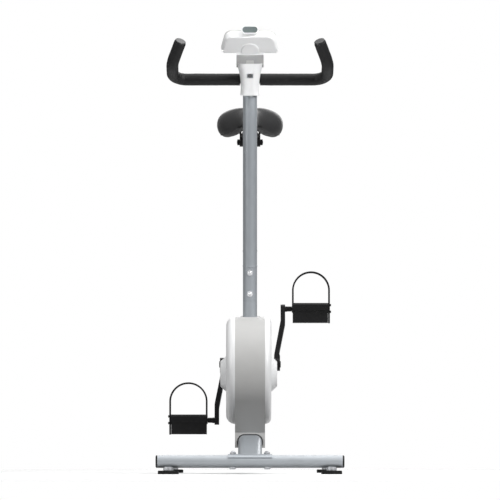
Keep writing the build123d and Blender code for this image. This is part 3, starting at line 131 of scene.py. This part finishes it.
# Saddle
SADDLE_VOXEL = 0.005
SADDLE_SWELL_CAP = 0.004
SADDLE_MARGIN = Vector((0.003, 0.0, 0.001))
SADDLE_STATIONS = 56
SADDLE_AROUND = 36
SADDLE_UNDERSIDE = 0.45         # share of the height below which the skin doesn't follow the top's dips
END_CROWDING = 0.65             # share of the stations' spacing that crowds towards nose and tail
SEAM_INDEX = 8                  # the section point that the piping runs through
PIPING_RADIUS = 0.0014
PIPING_LIFT = 0.35              # how far the piping stands out, as a share of its radius
PIPING_STEPS = 90
PIPING_INSET = 0.012            # how far the piping stays off nose and tail, as a share of the length
PUFF_FRAMES = 20
PUFF_PRESSURE = 4.0
COVER_TENSION = 20.0
COVER_BENDING = 2.0

# Console
PAINTED_SHADE_RADIUS = 0.029       # painted shade: the grey that stands for the console's shadow reaches this far from the hinge's axis
PAINTED_SHADE_EDGE = (0.0002, 0.0006)    # past that radius the painted shade grey turns white between these
# painted shade: grey put on the white hinge barrel and neck where the console's shadow falls
PAINTED_SHADE_GREY = (0.36, 0.36, 0.36)


# ---------------------------------------------------------------- node helpers
def add_node(tree, kind, **values):
    """A node with its inputs set. An underscore in a name stands for a space."""
    node = tree.nodes.new(kind)
    for name, value in values.items():
        node.inputs[name.replace("_", " ")].default_value = value
    return node


class Shader:
    """A material's node tree with short calls for the nodes used here."""

    def __init__(self, name, color, metallic, roughness, specular=PLAIN_SPECULAR):
        self.material = bpy.data.materials.new(name)
        self.material.use_nodes = True
        self.material.diffuse_color = (*color, 1.0)
        self.tree = self.material.node_tree
        self.tree.nodes.clear()
        self.surface = add_node(self.tree, "ShaderNodeBsdfPrincipled", Base_Color=(*color, 1.0),
                                Metallic=metallic, Roughness=roughness, Specular_IOR_Level=specular)
        output = add_node(self.tree, "ShaderNodeOutputMaterial")
        self.feed(self.surface.outputs["BSDF"], output.inputs["Surface"])
        self.place = add_node(self.tree, "ShaderNodeTexCoord").outputs["Object"]

    def feed(self, value, socket):
        """Links another node's result to the socket, or sets a plain number or colour on it."""
        if isinstance(value, bpy.types.NodeSocket):
            self.tree.links.new(value, socket)
        elif isinstance(value, tuple) and socket.type == "RGBA":
            socket.default_value = (*value, 1.0)
        else:
            socket.default_value = value

    def stretched(self, scale):
        """Object coordinates scaled differently along each axis."""
        node = add_node(self.tree, "ShaderNodeMapping", Scale=scale)
        self.feed(self.place, node.inputs["Vector"])
        return node.outputs["Vector"]

    def vector(self, kind, first, second=None):
        """Vector arithmetic on one or two values."""
        node = add_node(self.tree, "ShaderNodeVectorMath")
        node.operation = kind
        self.feed(first, node.inputs[0])
        if second is not None:
            self.feed(second, node.inputs[1])
        return node.outputs["Value" if kind == "LENGTH" else "Vector"]

    def noise(self, scale, detail=4.0, rough=0.55, place=None):
        node = add_node(self.tree, "ShaderNodeTexNoise", Scale=scale, Detail=detail, Roughness=rough)
        self.feed(place or self.place, node.inputs["Vector"])
        return node.outputs["Fac"]

    def cells(self, scale, feature="F1"):
        node = add_node(self.tree, "ShaderNodeTexVoronoi", Scale=scale)
        node.feature = feature
        self.feed(self.place, node.inputs["Vector"])
        return node.outputs["Distance"]

    def span(self, value, low, high, to_low, to_high):
        """Maps a value's range onto another one."""
        node = add_node(self.tree, "ShaderNodeMapRange", From_Min=low, From_Max=high,
                        To_Min=to_low, To_Max=to_high)
        self.feed(value, node.inputs["Value"])
        return node.outputs["Result"]

    def band(self, value, to_low, to_high):
        """Maps the range where most of a noise lies onto another one."""
        return self.span(value, *NOISE_BAND, to_low, to_high)

    def add(self, first, second):
        node = add_node(self.tree, "ShaderNodeMath")
        node.operation = "ADD"
        self.feed(first, node.inputs[0])
        self.feed(second, node.inputs[1])
        return node.outputs[0]

    def tint(self, mask, first, second):
        """Colour that goes from first to second with the mask. Each is a colour or another node's result."""
        node = add_node(self.tree, "ShaderNodeMix")
        node.data_type = "RGBA"
        self.feed(mask, node.inputs["Factor"])
        self.feed(first, node.inputs[MIX_FIRST_COLOR])
        self.feed(second, node.inputs[MIX_SECOND_COLOR])
        return node.outputs[MIX_COLOR_RESULT]

    def color(self, value):
        self.feed(value, self.surface.inputs["Base Color"])

    def rough(self, value):
        self.feed(value, self.surface.inputs["Roughness"])

    def bump(self, height, strength, distance):
        node = add_node(self.tree, "ShaderNodeBump", Strength=strength, Distance=distance)
        self.feed(height, node.inputs["Height"])
        self.feed(node.outputs["Normal"], self.surface.inputs["Normal"])

    def set(self, **values):
        for name, value in values.items():
            self.feed(value, self.surface.inputs[name.replace("_", " ")])


def scaled(color, factor):
    return tuple(min(1.0, c * factor) for c in color)


# ---------------------------------------------------------------- materials
def satin_paint(name, color, roughness=0.36):
    """Silver paint over steel: fine flake, faint orange peel, small rubbed specks."""
    s = Shader(name, color, 0.35, roughness)
    flake = s.cells(2600.0)
    cloud = s.noise(9.0, 3.0)
    tone = s.add(s.span(flake, 0.0, 0.9, -0.35, 0.35), s.band(cloud, 0.2, 0.8))
    base = s.tint(tone, scaled(color, 0.94), scaled(color, 1.06))
    speck = s.span(s.noise(420.0, 2.0), 0.74, 0.79, 0.0, 0.45)
    s.color(s.tint(speck, base, scaled(color, 0.62)))
    s.rough(s.band(s.noise(60.0, 5.0), roughness - 0.05, roughness + 0.08))
    s.bump(s.noise(520.0, 2.0), 0.12, 0.0002)
    s.set(Coat_Weight=0.25, Coat_Roughness=0.25)
    return s.material


def moulded_shader(name, color, roughness, grain=1400.0, strength=0.18, gloss=0.0):
    """Moulded plastic: fine spark-eroded grain, faint cloudiness, handling marks."""
    specular = DARK_SPECULAR if max(color) < DARK_LIMIT else PLAIN_SPECULAR
    s = Shader(name, color, 0.0, roughness, specular)
    cloud = s.noise(14.0, 3.0)
    base = s.tint(s.band(cloud, 0.0, 1.0), scaled(color, 0.97), scaled(color, 1.03))
    speck = s.span(s.noise(260.0, 3.0, 0.7), 0.73, 0.8, 0.0, 0.25)
    s.color(s.tint(speck, base, scaled(color, 0.8)))
    rub = s.noise(36.0, 6.0, 0.65)
    s.rough(s.band(rub, roughness - 0.07, roughness + 0.07))
    s.bump(s.noise(grain, 3.0, 0.6), strength, 0.00015)
    s.set(Coat_Weight=gloss, Coat_Roughness=0.12)
    return s


def moulded(*look):
    return moulded_shader(*look).material


def bright_metal(name, color, roughness, stretch=(1.0, 1.0, 1.0)):
    """Plated metal with faint drawing lines and smudges."""
    s = Shader(name, color, 1.0, roughness)
    drawn = s.noise(900.0, 2.0, 0.5, s.stretched(stretch))
    smudge = s.noise(45.0, 5.0, 0.6)
    s.color(s.tint(s.span(smudge, 0.35, 0.7, 0.0, 1.0), scaled(color, 1.05), scaled(color, 0.85)))
    wear = s.add(s.span(smudge, 0.3, 0.75, 0.0, 0.12), s.band(drawn, -0.03, 0.03))
    s.rough(s.add(wear, roughness))
    s.bump(drawn, 0.06, 0.0001)
    return s.material


def cast_metal(name, color):
    """Painted casting: coarse sandy skin."""
    s = Shader(name, color, 0.6, 0.5)
    sand = s.noise(700.0, 6.0, 0.7)
    s.color(s.tint(s.band(sand, 0.0, 1.0), scaled(color, 0.75), scaled(color, 1.3)))
    s.rough(s.band(sand, 0.42, 0.62))
    s.bump(sand, 0.35, 0.0003)
    return s.material


def black_coat(name, color):
    """Powder coat on steel: orange peel, soft sheen, lighter rubbed spots."""
    s = Shader(name, color, 0.0, 0.34, DARK_SPECULAR)
    rub = s.span(s.noise(130.0, 6.0, 0.7), 0.66, 0.8, 0.0, 0.5)
    s.color(s.tint(rub, color, (0.06, 0.06, 0.063)))
    s.rough(s.band(s.noise(80.0, 4.0), 0.28, 0.44))
    s.bump(s.noise(650.0, 2.0), 0.2, 0.00025)
    return s.material


def foam_rubber(name):
    """Closed-cell foam sleeve: open pores whose insides are painted darker as painted shade, dusty
    highlights.
    """
    s = Shader(name, BLACK, 0.0, 0.5, 0.3)
    pores = s.cells(620.0)
    fine = s.noise(1500.0, 4.0, 0.7)
    dust = s.span(s.noise(55.0, 6.0, 0.7), 0.5, 0.75, 0.0, 0.4)
    # painted shade: colour darker towards each pore's middle, where the pits lie
    base = s.tint(s.span(pores, 0.1, 0.75, 0.0, 1.0), (0.003, 0.003, 0.0035), (0.010, 0.010, 0.0105))
    s.color(s.tint(dust, base, (0.018, 0.0175, 0.017)))
    s.rough(s.band(fine, 0.42, 0.62))
    height = s.add(s.span(pores, 0.0, 0.8, 0.0, 0.7), s.span(fine, 0.2, 0.8, 0.0, 0.3))
    s.bump(height, 0.55, 0.0005)
    return s.material


def rubber(name, color, roughness=0.62):
    """Moulded rubber with a faint bloom."""
    s = Shader(name, color, 0.0, roughness, DARK_SPECULAR)
    bloom = s.span(s.noise(70.0, 6.0, 0.7), 0.45, 0.75, 0.0, 0.6)
    s.color(s.tint(bloom, color, scaled(color, 2.2)))
    s.rough(s.band(s.noise(240.0, 4.0), roughness - 0.1, roughness + 0.12))
    s.bump(s.noise(800.0, 4.0, 0.6), 0.3, 0.0002)
    return s.material


def vinyl(name, color):
    """Soft saddle vinyl: pebbled leather grain of about a millimetre, satin sheen, painted shade in the
    grain's creases.
    """
    s = Shader(name, color, 0.0, 0.4, 0.5)
    warp = s.noise(160.0, 3.0)
    pebbles = s.cells(820.0, "SMOOTH_F1")
    creases = s.cells(520.0, "DISTANCE_TO_EDGE")
    tone = s.band(s.noise(22.0, 4.0, 0.6), 0.0, 1.0)
    base = s.tint(tone, scaled(color, 0.88), scaled(color, 1.12))
    # painted shade: the grain's creases are painted darker
    painted_crease_shade = s.span(creases, 0.0, 0.09, 0.5, 0.0)
    s.color(s.tint(painted_crease_shade, base, scaled(color, 0.5)))
    s.rough(s.band(warp, 0.32, 0.46))
    height = s.add(s.span(creases, 0.0, 0.16, 0.0, 0.7), s.span(pebbles, 0.0, 0.8, 0.3, 0.0))
    s.bump(height, 0.4, 0.0004)
    s.set(Sheen_Weight=0.15, Sheen_Roughness=0.5)
    return s.material


def smoked(name):
    """Smoked window with a faint haze."""
    s = Shader(name, (0.09, 0.12, 0.12), 0.0, 0.08, 0.6)
    haze = s.noise(60.0, 4.0, 0.6)
    s.color(s.tint(s.band(haze, 0.0, 1.0), (0.10, 0.135, 0.135), (0.17, 0.20, 0.20)))
    s.rough(s.band(s.noise(300.0, 4.0), 0.06, 0.16))
    s.set(Coat_Weight=0.6, Coat_Roughness=0.04)
    return s.material


def display(name):
    """Grey liquid-crystal screen behind a clear cover, with its faint pixel grid."""
    base = (0.26, 0.29, 0.25)
    s = Shader(name, base, 0.0, 0.12, 0.6)
    grid = s.cells(900.0)
    cloud = s.noise(18.0, 3.0)
    tone = s.add(s.span(grid, 0.0, 0.8, 0.0, 0.4), s.band(cloud, 0.0, 0.6))
    s.color(s.tint(tone, scaled(base, 0.9), scaled(base, 1.1)))
    s.rough(s.band(s.noise(220.0, 4.0), 0.08, 0.18))
    s.set(Coat_Weight=0.7, Coat_Roughness=0.05)
    return s.material


def console_shell_painted_shade(name):
    """White moulded shell whose hinge barrel and neck are painted grey as painted shade under the console:
    all that lies near the hinge's axis.
    """
    s = moulded_shader(name, WHITE, 0.36, 1100.0, 0.08, 0.15)
    white_look = s.surface.inputs["Base Color"].links[0].from_socket
    hinge = next(joint for joint in frame["joints"] if joint["name"] == "console_tilt")["pos_m"]
    away = s.vector("SUBTRACT", s.place, (0.0, hinge[1], hinge[2]))
    across_axis = s.vector("MULTIPLY", away, (0.0, 1.0, 1.0))
    reach = s.vector("LENGTH", across_axis)
    inner, outer = (PAINTED_SHADE_RADIUS + edge for edge in PAINTED_SHADE_EDGE)
    # painted shade: mask of the grey near the hinge's axis, where the console's shadow falls
    mask = s.span(reach, inner, outer, 0.0, 1.0)
    s.color(s.tint(mask, PAINTED_SHADE_GREY, white_look))
    return s.material


MATERIALS = {
    "console_shell_painted_shade": console_shell_painted_shade("console_shell_painted_shade"),
    "frame_paint": satin_paint("frame_paint", (0.40, 0.43, 0.46)),
    "stabilizer_paint": satin_paint("stabilizer_paint", (0.47, 0.50, 0.53), 0.42),
    "zinc_steel": bright_metal("zinc_steel", (0.55, 0.56, 0.58), 0.3),
    "chrome": bright_metal("chrome", (0.78, 0.79, 0.81), 0.1, (1.0, 1.0, 0.05)),
    "white_plastic": moulded("white_plastic", WHITE, 0.34, 1100.0, 0.08, 0.2),
    "grey_plastic": moulded("grey_plastic", (0.50, 0.498, 0.49), 0.5),
    "black_plastic": moulded("black_plastic", BLACK, 0.38, 900.0, 0.22),
    "black_gloss_plastic": moulded("black_gloss_plastic", (0.02, 0.02, 0.021), 0.25, 600.0, 0.06, 0.4),
    "black_paint": black_coat("black_paint", BLACK),
    "foam": foam_rubber("foam"),
    "foot_rubber": rubber("foot_rubber", (0.007, 0.007, 0.007)),
    "saddle_cover": vinyl("saddle_cover", (0.016, 0.016, 0.017)),
    "strap_rubber": rubber("strap_rubber", (0.005, 0.005, 0.0055), 0.45),
    "cast_iron": cast_metal("cast_iron", (0.10, 0.10, 0.11)),
    "belt_rubber": rubber("belt_rubber", (0.02, 0.02, 0.02), 0.7),
    "cable_sheath": rubber("cable_sheath", (0.02, 0.02, 0.02), 0.5),
    "smoked_lens": smoked("smoked_lens"),
    "display": display("display"),
}

# nodes whose look isn't the one of their slot
SPECIAL_LOOKS = {"console_back": "console_shell_painted_shade"}


def dress_nodes():
    """Gives every CAD node the material of its slot."""
    for part in frame["record"]["subparts"]:
        node = NODES[part["node"]]
        node.data.materials.clear()
        look = SPECIAL_LOOKS.get(part["node"], part["material_slot"])
        node.data.materials.append(MATERIALS[look])


# ---------------------------------------------------------------- mesh helpers
def new_object(name, points, faces, material):
    mesh = bpy.data.meshes.new(name)
    mesh.from_pydata([tuple(p) for p in points], [], faces)
    piece = bpy.data.objects.new(name, mesh)
    bpy.context.scene.collection.objects.link(piece)
    coat(piece, material)
    return piece


def shade_smooth(piece):
    piece.data.polygons.foreach_set("use_smooth", [True] * len(piece.data.polygons))


def coat(piece, material):
    """Gives a piece its one material again after its mesh was remade."""
    piece.data.materials.clear()
    piece.data.materials.append(MATERIALS[material])
    shade_smooth(piece)


def values_of(mesh, field):
    flat = np.empty(len(mesh.vertices) * 3)
    mesh.vertices.foreach_get(field, flat)
    return flat.reshape(-1, 3)


def points_of(mesh):
    return values_of(mesh, "co")


def set_points(mesh, points):
    mesh.vertices.foreach_set("co", points.ravel())
    mesh.update()


def apply_modifiers(piece):
    """Bakes the piece's modifiers into its mesh."""
    graph = bpy.context.evaluated_depsgraph_get()
    baked = bpy.data.meshes.new_from_object(piece.evaluated_get(graph))
    piece.modifiers.clear()
    old = piece.data
    piece.data = baked
    bpy.data.meshes.remove(old)


def remesh(piece, voxel):
    modifier = piece.modifiers.new("remesh", "REMESH")
    modifier.mode = "VOXEL"
    modifier.voxel_size = voxel
    modifier.use_smooth_shade = True
    apply_modifiers(piece)


def smooth(piece, factor, rounds):
    modifier = piece.modifiers.new("smooth", "SMOOTH")
    modifier.factor = factor
    modifier.iterations = rounds
    apply_modifiers(piece)


def subdivide(piece):
    modifier = piece.modifiers.new("subdivision", "SUBSURF")
    modifier.levels = 1
    modifier.render_levels = 1
    apply_modifiers(piece)


def swept_loop(name, path, radius, material, sides=10):
    """Tube of round section along a closed list of points."""
    count = len(path)
    points, faces = [], []
    for index, here in enumerate(path):
        ahead = (path[(index + 1) % count] - path[index - 1]).normalized()
        side = ahead.cross(Vector((0, 0, 1)))
        side = side.normalized() if side.length > 1e-6 else Vector((1, 0, 0))
        up = side.cross(ahead).normalized()
        for step in range(sides):
            turn = 2 * math.pi * step / sides
            points.append(here + radius * (math.cos(turn) * side + math.sin(turn) * up))
    for index in range(count):
        following = (index + 1) % count
        for step in range(sides):
            neighbour = (step + 1) % sides
            faces.append((index * sides + step, index * sides + neighbour,
                          following * sides + neighbour, following * sides + step))
    return new_object(name, points, faces, material)


# ---------------------------------------------------------------- foam grips
def uneven(place, grain):
    height, frequency = grain
    return height * noise.noise(Vector(place) * frequency)


def elbow(node, side):
    """Centre of the grip's bend, the direction out of the bend's inside, the one across it, and its axis."""
    low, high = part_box(node)
    bar_x = (high.x if side > 0 else -low.x) - FOAM_RADIUS
    corner = Vector((side * bar_x, high.y - FOAM_RADIUS, low.z + FOAM_RADIUS))
    along_bar = Vector((-side, 0, 0))
    inward = (along_bar + HORN_DIRECTION).normalized()
    half_angle = along_bar.angle(HORN_DIRECTION) / 2
    centre = corner + inward * (ELBOW_BEND / math.sin(half_angle))
    axis = along_bar.cross(HORN_DIRECTION).normalized()
    return centre, inward, axis.cross(inward), axis


def crease_depth(place, centre, inward, across, axis):
    """How deep the compression creases lie at a point of the grip."""
    offset = Vector(place) - centre
    turn = math.atan2(offset.dot(across), -offset.dot(inward))
    reach = (offset - axis * offset.dot(axis)).length
    if abs(turn) >= CREASE_HALF_ANGLE or reach >= CREASE_REACH:
        return 0.0
    inner = max(0.0, (ELBOW_BEND - reach) / FOAM_RADIUS)
    fade = math.cos(turn / CREASE_HALF_ANGLE * math.pi / 2)
    wander = uneven(place, (CREASE_WANDER, 90.0))
    fold = 0.5 - 0.5 * math.cos((turn + wander) / CREASE_HALF_ANGLE * math.pi * CREASE_COUNT)
    return CREASE_DEPTH * fade * fold * (CREASE_OUTER_SHARE + inner)


def foam_grip(node, side):
    """Foam sleeve remade from its CAD solid, with compression folds inside the elbow and a soft skin."""
    piece = bpy.data.objects.new(node + "_foam", NODES[node].data.copy())
    bpy.context.scene.collection.objects.link(piece)
    remesh(piece, FOAM_VOXEL)
    smooth(piece, 0.5, 3)
    bend = elbow(node, side)
    points = points_of(piece.data)
    normals = values_of(piece.data, "normal")
    lift = [uneven(p, FINE_GRAIN) + uneven(p, COARSE_GRAIN) - crease_depth(p, *bend) for p in points]
    set_points(piece.data, points + normals * np.array(lift)[:, None])
    coat(piece, "foam")
    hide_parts(node)
    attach(piece, "handlebar")


# ---------------------------------------------------------------- saddle
def saddle_half_width(u):
    """Half width of the saddle at u from nose (0) to rear (1), as a share of the widest."""
    neck = 0.24 + 0.06 * u
    flare = 1.0 / (1.0 + math.exp(-(u - 0.60) * 15.0))
    body = neck + (1.0 - neck) * flare
    nose = math.sqrt(max(0.0, 1.0 - (1.0 - min(1.0, u / 0.10)) ** 2.4))
    tail = math.sqrt(max(0.0, 1.0 - max(0.0, (u - 0.80) / 0.20) ** 2.6))
    return body * nose * tail


# Half sections as shares of the half width and of the height, from the middle of the top, round the side,
# to the middle of the underside
WIDE_SECTION = (
    (0.0, 0.91), (0.22, 0.985), (0.42, 1.0), (0.66, 0.96), (0.86, 0.84), (0.97, 0.66), (1.0, 0.48),
    (0.975, 0.26), (0.89, 0.09), (0.72, 0.0), (0.56, 0.05), (0.42, 0.20), (0.26, 0.36), (0.0, 0.38))
NARROW_SECTION = (
    (0.0, 1.0), (0.30, 0.99), (0.58, 0.95), (0.80, 0.87), (0.93, 0.76), (0.99, 0.66), (1.0, 0.56),
    (0.98, 0.46), (0.92, 0.38), (0.80, 0.33), (0.62, 0.31), (0.42, 0.31), (0.2, 0.31), (0.0, 0.31))
TAIL_SECTION = (
    (0.0, 0.93), (0.22, 0.98), (0.42, 0.99), (0.66, 0.96), (0.86, 0.88), (0.97, 0.76), (1.0, 0.64),
    (0.98, 0.50), (0.90, 0.40), (0.74, 0.35), (0.58, 0.34), (0.42, 0.34), (0.24, 0.35), (0.0, 0.36))


def smooth_section(points, count):
    """Catmull-Rom resampling of a half section."""
    points = [Vector((x, z)) for x, z in points]
    mirror_start = Vector((-points[1].x, points[1].y))
    mirror_end = Vector((-points[-2].x, points[-2].y))
    padded = [mirror_start] + points + [mirror_end]
    result = []
    for step in range(count):
        t = step / (count - 1) * (len(points) - 1)
        index = min(int(t), len(points) - 2)
        f = t - index
        a, b, c, d = padded[index:index + 4]
        result.append(0.5 * (2 * b + (c - a) * f + (2 * a - 5 * b + 4 * c - d) * f * f
                             + (3 * b - a - 3 * c + d) * f ** 3))
    return result


def mirrored(place):
    return Vector((-place.x, place.y, place.z))


def eased(value, low, high):
    """0 below low, 1 above high, smooth between."""
    share = min(1.0, max(0.0, (value - low) / (high - low)))
    return share * share * (3 - 2 * share)


def saddle_drop(u):
    """How far the saddle's top lies below its highest level at u, as a share of the height."""
    waist = 0.10 * math.exp(-((u - 0.36) / 0.16) ** 2)
    nose = 0.16 * max(0.0, 1 - u / 0.12) ** 2
    tail = 0.22 * max(0.0, (u - 0.86) / 0.14) ** 2
    return waist + nose + tail


def saddle_point(u, wide, narrow, tail, box):
    """The skin's point at u, from the same point of the three sections."""
    low, high = box
    half_width = saddle_half_width(u) * (high.x - low.x) / 2
    section = narrow.lerp(wide, eased(u, 0.34, 0.68)).lerp(tail, eased(u, 0.80, 0.97))
    rise = section.y
    if rise > SADDLE_UNDERSIDE:
        rise -= saddle_drop(u) * (rise - SADDLE_UNDERSIDE) / (1.0 - SADDLE_UNDERSIDE)
    return Vector((section.x * half_width, low.y + u * (high.y - low.y), low.z + rise * (high.z - low.z)))


def saddle_stations():
    """Places along the saddle, closer together at nose and tail."""
    stations = []
    for i in range(SADDLE_STATIONS):
        even = (i + 0.5) / SADDLE_STATIONS
        crowded = 0.5 - 0.5 * math.cos(math.pi * even)
        stations.append((1 - END_CROWDING) * even + END_CROWDING * crowded)
    return stations


def saddle_skin(box):
    """Closed saddle form lofted through its stations."""
    sections = [smooth_section(half, SADDLE_AROUND) for half in (WIDE_SECTION, NARROW_SECTION, TAIL_SECTION)]
    points, faces = [], []
    for u in saddle_stations():
        half = [saddle_point(u, *same, box) for same in zip(*sections)]
        points.extend(half + [mirrored(p) for p in half[-2:0:-1]])
    ring = 2 * SADDLE_AROUND - 2
    last = (SADDLE_STATIONS - 1) * ring
    for start in range(0, last, ring):
        for k in range(ring):
            n = (k + 1) % ring
            faces.append((start + k, start + ring + k, start + ring + n, start + n))
    faces.append(tuple(range(ring)))
    faces.append(tuple(range(last, last + ring))[::-1])
    return points, faces


def puff(piece):
    """Lets the cushion swell a little under pressure, as foam under a stretched cover does."""
    scene = bpy.context.scene
    before = points_of(piece.data).copy()
    cloth = piece.modifiers.new("cloth", "CLOTH")
    cloth.settings.use_pressure = True
    cloth.settings.uniform_pressure_force = PUFF_PRESSURE
    cloth.settings.effector_weights.gravity = 0.0
    cloth.settings.tension_stiffness = COVER_TENSION
    cloth.settings.bending_stiffness = COVER_BENDING
    cloth.point_cache.frame_start = 1
    cloth.point_cache.frame_end = PUFF_FRAMES
    for step in range(1, PUFF_FRAMES + 1):
        scene.frame_set(step)
    graph = bpy.context.evaluated_depsgraph_get()
    swollen = bpy.data.meshes.new_from_object(piece.evaluated_get(graph))
    move = points_of(swollen) - before
    piece.modifiers.clear()
    bpy.data.meshes.remove(swollen)
    length = np.linalg.norm(move, axis=1, keepdims=True)
    share = np.minimum(1.0, SADDLE_SWELL_CAP / np.maximum(length, 1e-9))
    set_points(piece.data, before + move * share)
    scene.frame_set(1)


def saddle_padding(box):
    points, faces = saddle_skin(box)
    cushion = new_object("saddle_padding", points, faces, "saddle_cover")
    remesh(cushion, SADDLE_VOXEL)
    smooth(cushion, 0.5, 4)
    puff(cushion)
    subdivide(cushion)
    coat(cushion, "saddle_cover")
    return cushion


def saddle_piping(box, cushion):
    """Piping round the cushion along its lower seam, laid on the cushion's own skin."""
    skin = BVHTree.FromPolygons([v.co.copy() for v in cushion.data.vertices],
                                [tuple(p.vertices) for p in cushion.data.polygons])
    seam = [Vector(section[SEAM_INDEX]) for section in (WIDE_SECTION, NARROW_SECTION, TAIL_SECTION)]
    length = 1 - 2 * PIPING_INSET
    stations = [PIPING_INSET + length * (0.5 - 0.5 * math.cos(math.pi * i / PIPING_STEPS))
                for i in range(PIPING_STEPS + 1)]
    one_side = [saddle_point(u, *seam, box) for u in stations]
    path = []
    for place in one_side + [mirrored(p) for p in one_side[::-1]]:
        spot, normal, _, _ = skin.find_nearest(place)
        path.append(spot + normal * PIPING_RADIUS * PIPING_LIFT)
    return swept_loop("saddle_piping", path, PIPING_RADIUS, "saddle_cover")


def saddle():
    """Padded saddle with its piping."""
    low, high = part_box("saddle_cushion")
    box = (low - SADDLE_MARGIN, high + SADDLE_MARGIN)
    cushion = saddle_padding(box)
    piping = saddle_piping(box, cushion)
    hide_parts("saddle_cushion")
    for piece in (cushion, piping):
        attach(piece, "saddle")


# ---------------------------------------------------------------- stage
def area_light(name, place, size, power, target=LAMP_TARGET, spread=OPEN_SPREAD):
    data = bpy.data.lights.new(name, "AREA")
    data.shape = "RECTANGLE"
    data.size, data.size_y = size
    data.energy = power
    data.spread = math.radians(spread)
    lamp = bpy.data.objects.new(name, data)
    bpy.context.scene.collection.objects.link(lamp)
    lamp.location = place
    lamp.rotation_mode = "QUATERNION"
    lamp.rotation_quaternion = (Vector(target) - Vector(place)).to_track_quat("-Z", "Y")
    lamp.visible_camera = False
    return lamp


def lights():
    """Four lamps round the bike, and a narrow one that lights the console's back from below."""
    for lamp in LAMPS:
        area_light(*lamp)
    low = area_light(*CONSOLE_LAMP, CONSOLE_TARGET, CONSOLE_LAMP_SPREAD)
    low.visible_glossy = False


def floor_paint():
    """Pale matt paint, solid under the bike and clear at the floor's edge."""
    s = Shader("floor_paint", (0.9, 0.9, 0.9), 0.0, 0.75)
    s.color(s.tint(s.noise(3.0, 3.0), (0.89, 0.89, 0.89), (0.92, 0.92, 0.92)))
    s.set(Alpha=s.span(s.vector("LENGTH", s.place), *FLOOR_FADE, 1.0, 0.0))
    return s.material


def floor():
    """Pale disc that fades out towards its edge."""
    turns = [2 * math.pi * k / FLOOR_SIDES for k in range(FLOOR_SIDES)]
    rim = [(FLOOR_RADIUS * math.cos(turn), FLOOR_RADIUS * math.sin(turn), 0.0) for turn in turns]
    mesh = bpy.data.meshes.new("floor")
    mesh.from_pydata(rim, [], [tuple(range(FLOOR_SIDES))])
    mesh.materials.append(floor_paint())
    piece = bpy.data.objects.new("floor", mesh)
    bpy.context.scene.collection.objects.link(piece)
    piece.visible_diffuse = False


def world():
    """White surround to the camera; as light it is brighter from above than from below."""
    sky = bpy.data.worlds.new("studio")
    bpy.context.scene.world = sky
    sky.use_nodes = True
    tree = sky.node_tree
    tree.nodes.clear()
    out = add_node(tree, "ShaderNodeOutputWorld")
    seen = add_node(tree, "ShaderNodeBackground", Color=(1, 1, 1, 1), Strength=1.0)
    light = add_node(tree, "ShaderNodeBackground")
    place = add_node(tree, "ShaderNodeTexCoord")
    split = add_node(tree, "ShaderNodeSeparateXYZ")
    ramp = add_node(tree, "ShaderNodeMapRange", From_Min=-0.6, From_Max=1.0,
                    To_Min=SKY_FROM_BELOW, To_Max=SKY_FROM_ABOVE)
    path = add_node(tree, "ShaderNodeLightPath")
    mix = add_node(tree, "ShaderNodeMixShader")
    for source, target in ((place.outputs["Generated"], split.inputs["Vector"]),
                           (split.outputs["Z"], ramp.inputs["Value"]),
                           (ramp.outputs["Result"], light.inputs["Strength"]),
                           (path.outputs["Is Camera Ray"], mix.inputs["Fac"]),
                           (light.outputs["Background"], mix.inputs[1]),
                           (seen.outputs["Background"], mix.inputs[2]),
                           (mix.outputs["Shader"], out.inputs["Surface"])):
        tree.links.new(source, target)


def camera():
    """Long lens in front of the bike, near the floor and tilted up a little."""
    data = bpy.data.cameras.new("camera")
    data.sensor_width = SENSOR_WIDTH
    data.lens = SENSOR_WIDTH * CAMERA_DISTANCE / VIEW_WIDTH
    data.clip_start = 1.0
    data.clip_end = CAMERA_DISTANCE * 3
    eye = bpy.data.objects.new("camera", data)
    bpy.context.scene.collection.objects.link(eye)
    eye.location = (0.0, cad_box[0].y - CAMERA_DISTANCE, CAMERA_HEIGHT)
    rise = math.atan2(VIEW_CENTRE_Z - CAMERA_HEIGHT, CAMERA_DISTANCE)
    eye.rotation_euler = (math.radians(90) + rise, 0.0, 0.0)
    bpy.context.scene.camera = eye


bpy.context.scene.view_settings.view_transform = "Standard"
dress_nodes()
saddle()
foam_grip("left_grip", 1)
foam_grip("right_grip", -1)
floor()
world()
lights()
camera()
